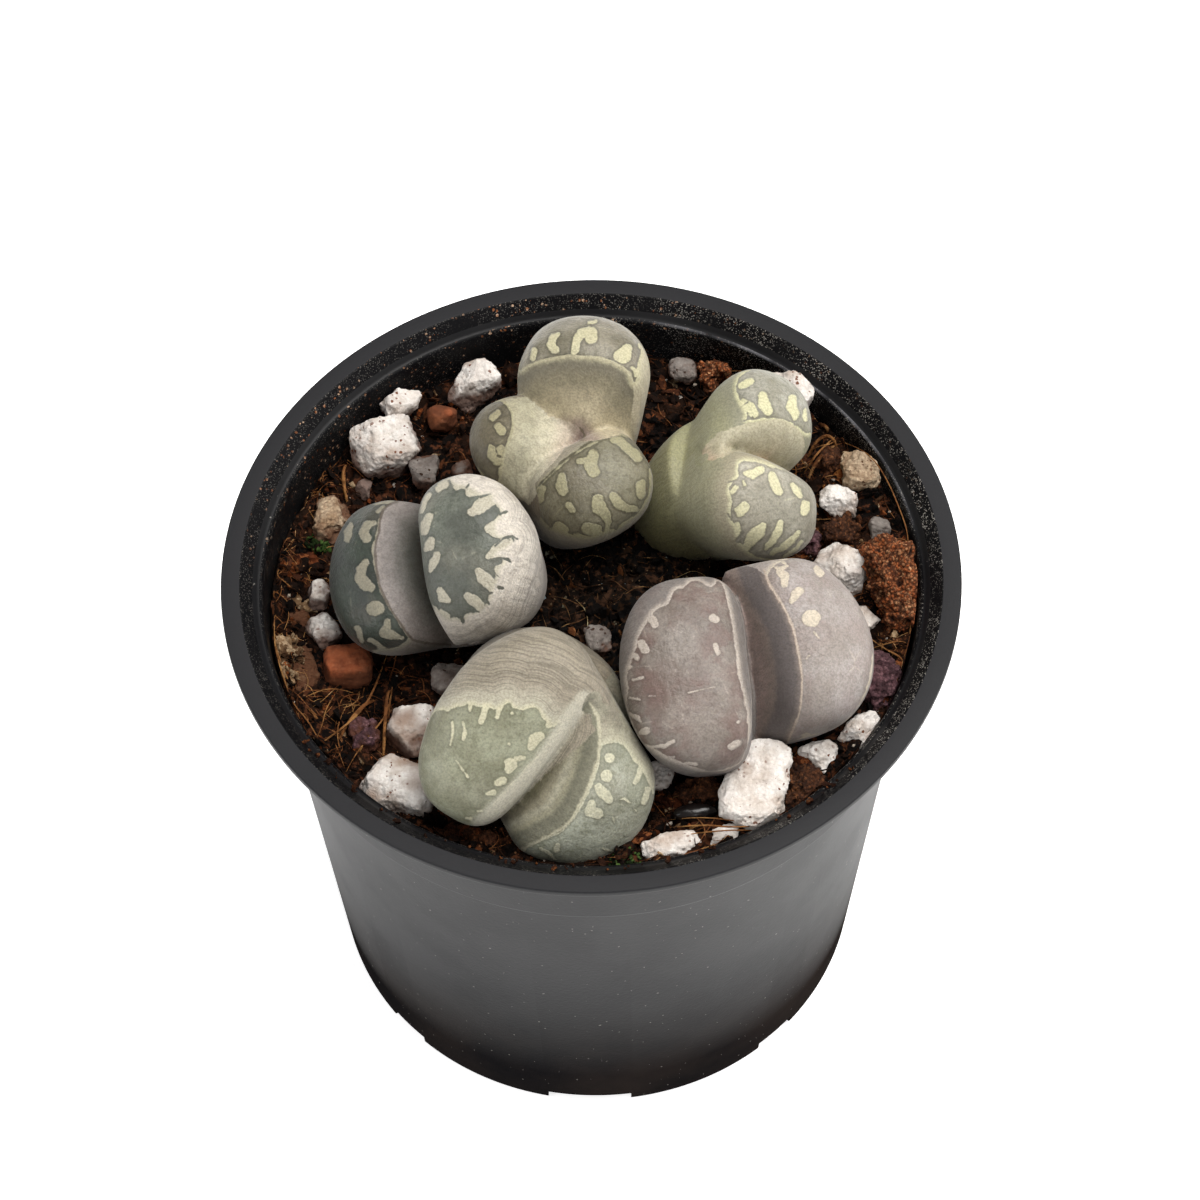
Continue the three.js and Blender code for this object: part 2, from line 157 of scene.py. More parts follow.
class Wire:  # a value in a node tree; sums and mixes of wires add the nodes that work them out
    def __init__(self, socket):
        self.socket = socket

    def next(self, kind, inputs, output=0, **settings):
        return Wire(addNode(self.socket.id_data, kind, inputs, **settings).outputs[output])

    def maths(self, operation, first, second):
        return self.next("ShaderNodeMath", {0: first, 1: second}, operation=operation)

    def __add__(self, other):
        return self.maths("ADD", self, other)

    def __sub__(self, other):
        return self.maths("SUBTRACT", self, other)

    def __rsub__(self, other):
        return self.maths("SUBTRACT", other, self)

    def __mul__(self, other):
        return self.maths("MULTIPLY", self, other)

    def __truediv__(self, other):
        return self.maths("DIVIDE", self, other)

    def __rtruediv__(self, other):
        return self.maths("DIVIDE", other, self)

    def __lt__(self, other):
        return self.maths("LESS_THAN", self, other)

    def vector(self, operation, other, key=1, output=0):
        return self.next("ShaderNodeVectorMath", {0: self, key: other}, output, operation=operation)

    def range(self, low, high, start=0.0, end=1.0):
        inputs = {"Value": self, "From Min": low, "From Max": high, "To Min": start, "To Max": end}
        return self.next("ShaderNodeMapRange", inputs, interpolation_type="SMOOTHSTEP")

    def mix(self, first, second, share=None, blend="MIX"):  # two colours, by this mask or by a fixed share
        inputs = {0: self if share is None else share}
        for key, colour in ((6, first), (7, second)):
            if isinstance(colour, str):
                colour = hexColour(colour)
            inputs[key] = colour if isinstance(colour, Wire) else (*colour, 1)
        return self.next("ShaderNodeMix", inputs, 2, data_type="RGBA", blend_type=blend)

    def ramp(self, stops):
        node = addNode(self.socket.id_data, "ShaderNodeValToRGB", {"Fac": self})
        node.color_ramp.interpolation = "EASE"
        band = node.color_ramp.elements
        while len(band) < len(stops):
            band.new(0.5)
        for element, (place, code) in zip(band, stops):
            element.position = place
        for element, (place, code) in zip(band, stops):
            element.color = (*hexColour(code), 1)
        return Wire(node.outputs["Color"])


def newGroup(name, inputs, outputs):
    group = bpy.data.node_groups.new(name, "ShaderNodeTree")
    for title, value in {"Vector": None, **inputs}.items():
        kind = "NodeSocketVector" if value is None else "NodeSocketFloat"
        socket = group.interface.new_socket(title, in_out="INPUT", socket_type=kind)
        if value is not None:
            socket.default_value = value
    for title in outputs:
        group.interface.new_socket(title, in_out="OUTPUT", socket_type="NodeSocketFloat")
    start = group.nodes.new("NodeGroupInput")
    return group, [Wire(socket) for socket in start.outputs[:-1]], group.nodes.new("NodeGroupOutput")


def makeGrain():  # soft noise, as a mask between two levels
    group, given, result = newGroup("grain", {"Scale": 500.0, "Detail": 4.0, "Low": 0.35, "High": 0.65},
                                    ["Mask", "Height"])
    spot, scale, detail, low, high = given
    inputs = {"Vector": spot, "Scale": scale, "Detail": detail, "Roughness": 0.6}
    field = spot.next("ShaderNodeTexNoise", inputs, "Fac")
    setInputs(result, {"Mask": field.range(low, high), "Height": field})
    return group


def makeSpeckle():  # scattered small specks; Share is how many places have one
    group, given, result = newGroup("speckle", {"Scale": 1000.0, "Size": 0.3, "Share": 0.4}, ["Mask"])
    spot, scale, size, share = given
    bend = spot.next("ShaderNodeTexNoise", {"Vector": spot, "Scale": scale, "Detail": 2.0}, "Color")
    moved = bend.vector("SUBTRACT", (0.5, 0.5, 0.5)).vector("SCALE", 0.9 / scale, "Scale")
    place = spot.vector("ADD", moved)
    cells = addNode(group, "ShaderNodeTexVoronoi", {"Vector": place, "Scale": scale})
    draw = addNode(group, "ShaderNodeSeparateColor", {"Color": Wire(cells.outputs["Color"])})
    reach = size * Wire(draw.outputs[1]).range(0, 1, 0.4, 1.2)
    inside = Wire(cells.outputs["Distance"]) < reach
    setInputs(result, {"Mask": inside * (Wire(draw.outputs[0]) < share)})
    return group


grain = makeGrain()
speckle = makeSpeckle()


class Paint:  # a material, with its shader and its Object coordinates
    def __init__(self, name):
        self.material = bpy.data.materials.new(name)
        self.material.use_nodes = True
        self.tree = self.material.node_tree
        self.spot = self.node("ShaderNodeTexCoord", {}, "Object")

    def node(self, kind, inputs, output=0, **settings):
        return Wire(addNode(self.tree, kind, inputs, **settings).outputs[output])

    def grain(self, scale, low=0.35, high=0.65, detail=4.0, output="Mask", spot=None):
        inputs = {"Vector": spot or self.spot, "Scale": scale, "Detail": detail, "Low": low, "High": high}
        return self.node("ShaderNodeGroup", inputs, output, node_tree=grain)

    def height(self, scale, detail=4.0):
        return self.grain(scale, detail=detail, output="Height")

    def speckle(self, scale, size, share):
        inputs = {"Vector": self.spot, "Scale": scale, "Size": size, "Share": share}
        return self.node("ShaderNodeGroup", inputs, node_tree=speckle)

    def cells(self, scale, output, **settings):
        return self.node("ShaderNodeTexVoronoi", {"Vector": self.spot, "Scale": scale}, output, **settings)

    def attribute(self, name):
        return self.node("ShaderNodeAttribute", {}, "Fac", attribute_name=name)

    def axis(self, number):
        return self.node("ShaderNodeSeparateXYZ", {0: self.spot}, number)

    def radius(self):  # distance from the pot's axis
        flat = self.spot.vector("MULTIPLY", (1, 1, 0))
        return flat.next("ShaderNodeVectorMath", {0: flat}, 1, operation="LENGTH")

    def bump(self, height, strength, distance):
        return self.node("ShaderNodeBump", {"Height": height, "Strength": strength, "Distance": distance})

    def done(self, inputs):
        setInputs(self.tree.nodes["Principled BSDF"], inputs)
        return self.material


def meshFrom(bm, name):
    mesh = bpy.data.meshes.new(name)
    bm.to_mesh(mesh)
    bm.free()
    mesh.shade_smooth()
    return mesh


def bmeshFrom(mesh):
    bm = bmesh.new()
    bm.from_mesh(mesh)
    return bm


def smoothAll(bm, times):
    axes = {"use_axis_x": True, "use_axis_y": True, "use_axis_z": True}
    for i in range(times):
        bmesh.ops.smooth_vert(bm, verts=bm.verts, factor=0.5, **axes)


def addPiece(name, data, material, slot, *nodes):
    piece = linked(name, data)
    data.materials.clear()
    data.materials.append(material)
    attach(piece, "root")
    if nodes:
        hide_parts(*nodes)


def finished(data, **modifiers):  # the mesh after the modifiers that are given as kind=settings
    piece = linked("work", data)
    for kind, settings in modifiers.items():
        made = piece.modifiers.new(kind, kind)
        for key, value in settings.items():
            setattr(made, key, value)
    graph = bpy.context.evaluated_depsgraph_get()
    result = bpy.data.meshes.new_from_object(piece.evaluated_get(graph))
    bpy.data.objects.remove(piece)
    return result


def makeFloor():
    paint = Paint("floorPaper")
    pale = studio["floorColour"]
    tone = paint.grain(6.0, 0.2, 0.8).mix(pale, tuple(c * 0.985 for c in pale))
    # the paper lies on a lit table, which keeps the shadows on it pale
    material = paint.done({"Base Color": tone, "Roughness": 0.9, "Emission Color": (1, 1, 1, 1),
                           "Emission Strength": studio["glow"]})
    bm = bmesh.new()
    bmesh.ops.create_grid(bm, x_segments=2, y_segments=2, size=studio["floorSize"] / 2)
    floor = linked("floor", meshFrom(bm, "floor"))
    floor.data.materials.append(material)


makeLights()
makeFloor()
print("studio made")

pot = {
    "steps": 192, "rimRadius": 38, "rimTop": 62.4, "rimInner": 36, "shelfEdge": 33.9, "shelfDrop": 2,
    "throatTop": 59.8, "lip": 0.9, "wall": 0.8, "flareEdge": 36.2, "flareFoot": 59.5, "collarTop": 34.5,
    "collarFoot": 33.9, "collarHeight": 12.2, "stepIn": 0.8, "footRadius": 29.1, "floorUnder": 2,
    "floorThickness": 1.2, "notches": 8, "notchHeight": 1.6, "wideNotch": 9.2, "narrowNotch": 5,
    "notchTurn": -92.5, "drainCircle": 21, "drainHole": 5, "plastic": ("121214", "171719"),
    # inside is painted shade within the pot, stain is painted shade towards the foot, ledge is a painted
    # highlight on the shelf's edge
    "inside": "0c0c0e", "rim": "29292b", "dust": "b9b4ac", "crumb": ("7a4a2c", "b59a82"), "stain": "3a3029",
    "ledge": "77777c", "roughness": (0.43, 0.47), "shine": (0.0, 0.19), "dull": 0.08,
}


def innerWall():  # radius and height up the inside of the wall
    p = pot
    floorTop = p["floorUnder"] + p["floorThickness"]
    bottom = p["rimTop"] - p["collarHeight"]
    return [
        (p["footRadius"] - p["wall"] - 1.2, floorTop),
        (p["footRadius"] - p["wall"], floorTop + 2),
        (p["collarFoot"] - p["stepIn"] - p["wall"], bottom - 0.6),
        (p["collarFoot"] - p["wall"], bottom + 0.5),
        (p["shelfEdge"] - 0.2, p["throatTop"]),
    ]


def roundedOutline(outline):  # each point is radius, height and how round the corner is
    points = []
    for i, (r, z, rounding) in enumerate(outline):
        if not rounding:
            points.append((r, z))
            continue
        here = Vector((r, z))
        before, after = Vector(outline[i - 1][:2]), Vector(outline[i + 1][:2])
        start = here + (before - here).normalized() * rounding
        end = here + (after - here).normalized() * rounding
        for step in range(5):
            t = step / 4
            points.append(tuple(start * (1 - t) ** 2 + here * 2 * t * (1 - t) + end * t ** 2))
    return points


def spinOutline(points, steps):
    bm = bmesh.new()
    verts = [bm.verts.new((r * mm, 0, z * mm)) for r, z in points]
    edges = [bm.edges.new(pair) for pair in zip(verts, verts[1:])]
    bmesh.ops.spin(bm, geom=verts + edges, cent=(0, 0, 0), axis=(0, 0, 1), angle=2 * math.pi, steps=steps,
                   use_merge=True)
    bmesh.ops.remove_doubles(bm, verts=bm.verts, dist=1e-6)
    bmesh.ops.recalc_face_normals(bm, faces=bm.faces)
    return bm


def potMaterial():
    paint = Paint("potPlastic")
    x, y, height = (paint.axis(i) for i in range(3))
    radius = paint.radius()
    cloud = paint.grain(60.0, 0.2, 0.8)
    base = cloud.mix(*pot["plastic"])
    base = (paint.speckle(1500.0, 0.12, 0.22) * 0.3).mix(base, pot["dust"])
    # the wall is painted darker and browner in blotches towards the foot: painted shade near the floor
    base = (height.range(0.03, 0.004) * (cloud * 0.35)).mix(base, pot["stain"])
    flat = height.range(0.062, 0.0623) * radius.range(0.0359, 0.036)
    base = flat.mix(base, pot["rim"])
    # all that lies further in than the middle of the wall is inside, painted darker than the outside as
    # painted shade
    within = (radius < height.range(0.0604, 0.0624, 0.03405, 0.0361)) * height.range(0.054, 0.0565)
    base = within.mix(base, pot["inside"])
    # pale dust clings there at the right, brown crumbs at the back
    right = x.range(-0.012, 0.028, 0.25, 1.0)
    back = y.range(-0.005, 0.02) * x.range(0.022, 0.0, 0.2, 1.0)
    patches = paint.grain(170.0, 0.3, 0.62)
    dusty = paint.speckle(7500.0, 0.42, 0.5) * within * (patches * right)
    base = (dusty * 0.6).mix(base, pot["dust"])
    crumbly = paint.speckle(2500.0, 0.32, 0.3) * within * (patches * back)
    base = crumbly.mix(base, paint.grain(1600.0, 0.45, 0.6).mix(*pot["crumb"]))
    # the edge of the shelf is painted paler in patches at the back right: a painted highlight along that edge
    ledge = height.range(0.06045, 0.0607) * height.range(0.06115, 0.0608) * within * x.range(0.002, 0.014)
    base = (ledge * patches * y.range(0.0, 0.02) * 0.7).mix(base, pot["ledge"])
    # the wall is duller towards the foot, and dullest on the rim and inside
    dull = (within + flat).maths("MINIMUM", within + flat, 1.0)
    shine = height.range(0.006, 0.05, *pot["shine"]) * (1.0 - dull) + dull * pot["dull"]
    scuff = paint.grain(90.0, 0.3, 0.75).range(0, 1, *pot["roughness"])
    return paint.done({"Base Color": base, "Roughness": scuff, "Specular IOR Level": shine,
                       "Normal": paint.bump(paint.height(2500.0, 3.0), 0.1, 0.0002)})


def makePot():
    p = pot
    bottom = p["rimTop"] - p["collarHeight"]
    outline = [
        (0, p["floorUnder"], 0),
        (p["footRadius"] - 1.6, p["floorUnder"], 0.2),
        (p["footRadius"] - 1.1, 0, 0.2),
        (p["footRadius"] - 0.2, 0, 0.15),
        (p["footRadius"], 0.4, 0.15),
        (p["collarFoot"] - p["stepIn"], bottom - 0.8, 0.25),
        (p["collarFoot"], bottom, 0.3),
        (p["collarTop"], p["flareFoot"], 0.3),
        (p["flareEdge"], p["rimTop"] - p["lip"], 0.25),
        (p["rimRadius"], p["rimTop"] - p["lip"], 0.25),
        (p["rimRadius"], p["rimTop"], 0.2),
        (p["rimInner"], p["rimTop"], 0.15),
        (p["shelfEdge"] + 0.5, p["rimTop"] - p["shelfDrop"] + 0.4, 0.15),
        (p["shelfEdge"], p["rimTop"] - p["shelfDrop"] + 0.2, 0.25),
    ]
    outline += [(r, z, 0.2) for r, z in reversed(innerWall())]
    outline += [(0, p["floorUnder"] + p["floorThickness"], 0)]
    body = meshFrom(spinOutline(roundedOutline(outline), p["steps"]), "pot")
    cutters = bmesh.new()
    for i in range(p["notches"]):
        turn = Matrix.Rotation(math.radians(p["notchTurn"] + i * 360 / p["notches"]), 4, "Z")
        width = p["narrowNotch"] if i % 2 else p["wideNotch"]
        size = Matrix.Diagonal((6 * mm, width * mm, 2 * p["notchHeight"] * mm, 1))
        place = turn @ Matrix.Translation((p["footRadius"] * mm, 0, 0))
        bmesh.ops.create_cube(cutters, size=1, matrix=place @ size)
        hole = turn @ Matrix.Translation((p["drainCircle"] * mm, 0, p["floorUnder"] * mm))
        bmesh.ops.create_cone(cutters, segments=32, cap_ends=True, radius1=p["drainHole"] / 2 * mm,
                              radius2=p["drainHole"] / 2 * mm, depth=3 * p["floorUnder"] * mm, matrix=hole)
    tool = linked("tool", meshFrom(cutters, "tool"))
    mesh = finished(body, BOOLEAN={"operation": "DIFFERENCE", "object": tool, "solver": "EXACT"})
    bpy.data.objects.remove(tool)
    mesh.set_sharp_from_angle(angle=math.radians(40))
    addPiece("potShell", mesh, potMaterial(), "pot", "pot")


makePot()
print("pot made")

soil = {
    "level": 56.6, "depth": 6, "gap": 0.3, "steps": 320, "rings": 110, "bank": 1.7, "bankFrom": 26,
    "colours": ("0a0605", "22140c", "553220"), "shade": (0.011, 0.022), "damp": (0.7, 0.95, 1.15),
    "bit": "8a6244", "white": "d8d0c6", "specks": 0.02,
}


def swell(x, y, z, seed):  # smooth lumpy field from -1 to 1
    a = math.sin(2.1 * x + 1.7 * seed) * math.cos(1.8 * y - 2.3 * seed)
    b = math.sin(2.6 * y + 0.9 * seed + 1.3 * z) * math.cos(2.2 * x + 3.1 * seed)
    c = math.sin(2.9 * z - 1.1 * seed) * math.cos(2.4 * y + 0.7 * seed + x)
    return (a + b + c) / 2


def soilHeight(x, y):  # the even height of the soil, in millimetres
    slope = 1.2 * x / 33 - 0.5 * y / 33
    broad = 0.55 * swell(x / 5.5, y / 5.5, 0, 3)
    return soil["level"] + slope + broad + 0.3 * swell(x / 2.1, y / 2.1, 0.5, 7)


def soilTop(x, y):  # with the clods on it, banked up a little along the wall but not at the back
    rough = noise.fractal(Vector((x * 0.55, y * 0.55, 4)), 0.9, 2.1, 5)
    cell = noise.voronoi(Vector((x * 0.62 + 0.25 * rough, y * 0.62, 1)))[0]
    out = max(0.0, min(1.0, (math.hypot(x, y) - soil["bankFrom"]) / 7))
    side = max(0.0, min(1.0, (22 - y) / 14))
    clods = 0.7 * (cell[1] - cell[0]) + 0.75 * rough - 0.45 + soil["bank"] * out * side
    return soilHeight(x, y) + clods


def makeSolidTree():  # the plants and the lumps as they are in the frame, to find what is free of them
    bm = bmesh.new()
    for title, node in frame["nodes"].items():
        if title not in ("pot", "soil"):
            bm.from_mesh(node.data)
    return BVHTree.FromBMesh(bm)


def wallAt(z):
    wall = innerWall()
    for (r0, z0), (r1, z1) in zip(wall, wall[1:]):
        if z <= z1:
            return r0 + (r1 - r0) * (z - z0) / (z1 - z0)
    return wall[-1][0]


def soilMaterial(name, first, second, third, specks=0.0):
    paint = Paint(name)
    broad = paint.grain(190.0, 0.42, 0.6)
    colour = (paint.grain(1100.0, 0.52, 0.6) * 0.8).mix(broad.mix(first, second), third)
    colour = (paint.speckle(2600.0, 0.3, 0.12) * broad).mix(colour, soil["bit"])
    if specks:
        colour = (paint.speckle(1400.0, 0.3, specks) * 0.6).mix(colour, soil["white"])
    # between the plants the soil is painted darker: partly its damp colour, partly painted shade
    damp = paint.radius().range(*soil["shade"]).mix(soil["damp"], (1, 1, 1))
    return paint.done({"Base Color": damp.mix(colour, damp, 1.0, "MULTIPLY"), "Roughness": 0.8,
                       "Specular IOR Level": 0.08,
                       "Normal": paint.bump(paint.height(1800.0, 6.0), 0.8, 0.0006)})


def makeSoil():
    edge = wallAt(soil["level"] + 1) - soil["gap"]
    outline = [(0, soil["depth"]), (wallAt(soil["depth"]) - soil["gap"], soil["depth"])]
    outline += [(r - soil["gap"], z + 2 * soil["gap"]) for r, z in innerWall()[2:4]]
    outline += [(edge * (1 - i / soil["rings"]), soil["level"]) for i in range(soil["rings"] + 1)]
    bm = spinOutline(outline, soil["steps"])
    for v in bm.verts:
        if v.co.z > (soil["level"] - 1) * mm:
            v.co.z = soilTop(v.co.x / mm, v.co.y / mm) * mm
    material = soilMaterial("soilBlack", *soil["colours"], soil["specks"])
    addPiece("soilBed", meshFrom(bm, "soilBed"), material, "soil", "soil")


solidTree = makeSolidTree()
makeSoil()
print("soil made")

# each lump that lies in the soil is its solid, cut to blunt blocks by planes and then roughened
lumpKeys = ("cuts", "keep", "grow", "voxel", "rough", "grains", "cell", "pit", "pitCell", "first", "second",
            "speck", "share", "stain", "dent", "bump", "grit")
lumpLooks = {
    "perlite_white": (9, (0.6, 0.88), 1.1, 0.13, 0.2, 0.08, 2.4, 0.45, 1.6, "efebe6", "d9d0c7", "6e4430",
                      0.26, "a08570", "8f7767", 0.8, 0.12),
    "perlite_cream": (8, (0.62, 0.9), 1.08, 0.13, 0.35, 0.3, 1.2, 0.6, 1.3, "cdb89c", "a98f72", "5a3520",
                      0.3, "8a6a4c", "5c4434", 0.8, 0.25),
    "perlite_grey": (8, (0.6, 0.88), 1.08, 0.13, 0.22, 0.08, 1.5, 0.4, 1.4, "8d8680", "6f6762", "3a2a22",
                     0.3, "5d5049", "453a34", 0.7, 0.15),
    "clay_red": (6, (0.7, 0.95), 1.04, 0.13, 0.14, 0.05, 1.6, 0.1, 1.5, "9a5434", "6e3822", "c98f68",
                 0.14, "b3714c", "4e2818", 0.35, 0.08),
    "clay_orange": (7, (0.68, 0.9), 1.06, 0.14, 0.8, 0.36, 2.5, 1.5, 0.8, "a5592f", "713c20", "c9966c",
                    0.2, "8a4f2a", "241008", 1.0, 0.75),
    "lava_purple": (6, (0.7, 0.95), 1.05, 0.14, 0.4, -0.7, 1.3, 1.0, 1.1, "5e3f44", "3c272b", "9a7478",
                    0.15, "74525a", "1c1114", 1.0, 0.4),
    "bark_brown": (6, (0.7, 0.95), 1.08, 0.14, 0.7, 0.32, 2.6, 1.2, 0.9, "54301b", "331b10", "8a5836",
                   0.18, "6e4222", "170c07", 1.0, 0.6),
    "chip_tan": (6, (0.7, 0.95), 1.05, 0.12, 0.3, 0.3, 1.8, 0.3, 1.2, "8a6f52", "5c4531", "b49c7a",
                 0.2, "6e5238", "2c1d12", 0.8, 0.3),
    "seed_black": (0, (1, 1), 1.0, 0.12, 0.03, 0.0, 1.0, 0.0, 1.0, "0d0a0a", "171210", "2c2420",
                   0.05, "1a1413", "080606", 0.1, 0.0),
}
lumpBase = {"sharp": 5, "wallGap": 0.25, "dirt": 0.2}
lumpForms = {  # what differs on single lumps: a long slab, a shard and flat angular ones
    "perlite_23": {"sharp": 9, "cuts": 3, "keep": (0.86, 0.96)},
    "perlite_10": {"sharp": 4, "cuts": 6, "keep": (0.5, 0.78), "dirt": 0.9},
    "perlite_11": {"sharp": 7, "cuts": 5, "keep": (0.62, 0.84), "dirt": 0.7},
    "perlite_1": {"sharp": 6, "cuts": 5, "keep": (0.68, 0.9)},
    "perlite_3": {"dirt": 0.8},
    "perlite_8": {"dirt": 0.6},
    "perlite_19": {"dirt": 0.4},
    "clay_clod": {"sharp": 4, "cuts": 12, "keep": (0.66, 0.92)},
}


def lumpMaterial(slot, look):
    paint = Paint(slot)
    colour = paint.grain(420.0, 0.4, 0.66).mix(look["first"], look["second"])
    colour = (paint.grain(230.0, 0.52, 0.68) * 0.6).mix(colour, look["stain"])
    cells = addNode(paint.tree, "ShaderNodeTexVoronoi", {"Vector": paint.spot, "Scale": 2900.0}).outputs
    distance = Wire(cells["Distance"])
    grains = paint.node("ShaderNodeSeparateColor", {"Color": Wire(cells["Color"])})
    colour = (grains.maths("POWER", grains, 3.0) * look["grit"]).mix(colour, look["speck"])
    # the gaps between the fine grains are painted in the hollow colour: painted shade
    colour = (distance.range(0.35, 0.6) * look["grit"]).mix(colour, look["dent"])
    dots = paint.speckle(2300.0, 0.36, look["share"])
    colour = (dots * paint.grain(330.0, 0.4, 0.6)).mix(colour, look["speck"])
    # pits and cracks are painted darker as painted shade, and grimy patches in the same colour are dirt
    colour = paint.attribute("dent").mix(colour, look["dent"])
    # soil clings to the foot of each lump
    cling = (paint.axis(2) - paint.height(500.0) * 0.0034).range(0.0566, 0.0552)
    colour = (cling * 0.85).mix(colour, soil["colours"][2])
    relief = paint.height(2600.0, 5.0) - distance * look["grit"]
    shiny = slot == "seed_black"
    return paint.done({"Base Color": colour, "Roughness": 0.22 if shiny else 0.85,
                       "Specular IOR Level": 0.5 if shiny else 0.2,
                       "Normal": paint.bump(relief, look["bump"], 0.0004)})


def squareUp(bm, centre, sharp):  # from an egg to a block of the same reach, along its own axes
    points = np.array([v.co - centre for v in bm.verts])
    axes = np.linalg.eigh(points.T @ points)[1]
    spots = points @ axes
    reach = np.abs(spots).max(0)
    shares = np.abs(spots) / reach
    swells = np.linalg.norm(shares, axis=1) / (shares ** sharp).sum(1) ** (1 / sharp)
    for v, point, swell in zip(bm.verts, points, swells):
        v.co = centre + Vector(point * swell)


def makeLump(node, slot, seed, material):
    look = {**lumpBase, **dict(zip(lumpKeys, lumpLooks[slot])), **lumpForms.get(node, {})}
    draw = random.Random(seed)
    bm = bmeshFrom(frame["nodes"][node].data)
    bmesh.ops.remove_doubles(bm, verts=bm.verts, dist=1e-6)
    centre = sum((v.co for v in bm.verts), Vector()) / len(bm.verts)
    if look["cuts"]:
        squareUp(bm, centre, look["sharp"])
    for i in range(look["cuts"]):
        way = Vector((draw.gauss(0, 1), draw.gauss(0, 1), draw.gauss(0, 1))).normalized()
        reach = max((v.co - centre).dot(way) for v in bm.verts)
        cut = centre + way * reach * draw.uniform(*look["keep"])
        geom = bm.verts[:] + bm.edges[:] + bm.faces[:]
        bmesh.ops.bisect_plane(bm, geom=geom, plane_no=way, clear_outer=True, plane_co=cut)
        bmesh.ops.holes_fill(bm, edges=bm.edges, sides=0)
    for v in bm.verts:
        v.co = centre + (v.co - centre) * look["grow"]
    bmesh.ops.recalc_face_normals(bm, faces=bm.faces)
    mesh = finished(meshFrom(bm, node), REMESH={"mode": "VOXEL", "voxel_size": look["voxel"] * mm})
    bm = bmeshFrom(mesh)
    smoothAll(bm, 2)
    bm.normal_update()
    moves, hollowShadesAndGrime = [], []
    for v in bm.verts:
        spot = v.co / mm + Vector((seed * 7.3, 0, 0))
        cell = noise.voronoi(spot * look["cell"])[0]
        hole = max(0.0, 0.42 - noise.voronoi(spot * look["pitCell"])[0][0])
        push = look["rough"] * noise.fractal(spot * 0.8, 0.9, 2.1, 5) + look["grains"] * (0.45 - cell[0])
        moves.append(v.normal * (push - look["pit"] * hole) * mm)
        # the pits and cracks are painted dark, as painted shade; grime adds real dirt in patches
        crack = 4 * (0.3 - cell[0]) * (look["grains"] < 0)
        if look["grains"] > 0.2:
            crack = 0.5 - 4 * (cell[1] - cell[0])
        grime = look["dirt"] * (0.35 + 1.5 * noise.noise(spot * 0.42))
        hollowShadesAndGrime.append(max(0.0, min(1.0, max(crack, 3.2 * hole * look["pit"] - 0.3, grime))))
    for v, move in zip(bm.verts, moves):
        v.co += move
        out = math.hypot(v.co.x, v.co.y)
        limit = (wallAt(v.co.z / mm) - look["wallGap"]) * mm
        if out > limit:  # what would reach the pot leans on its wall
            v.co.x *= limit / out
            v.co.y *= limit / out
    mesh = meshFrom(bm, node)
    mesh.attributes.new("dent", "FLOAT", "POINT").data.foreach_set("value", hollowShadesAndGrime)
    addPiece(node.replace("_", "") + "Lump", mesh, material, slot, node)


def makeLumps():
    materials = {slot: lumpMaterial(slot, dict(zip(lumpKeys, look))) for slot, look in lumpLooks.items()}
    for seed, entry in enumerate(frame["record"]["subparts"]):
        if entry["material_slot"] in lumpLooks:
            makeLump(entry["node"], entry["material_slot"], seed, materials[entry["material_slot"]])


makeLumps()
print("lumps made")

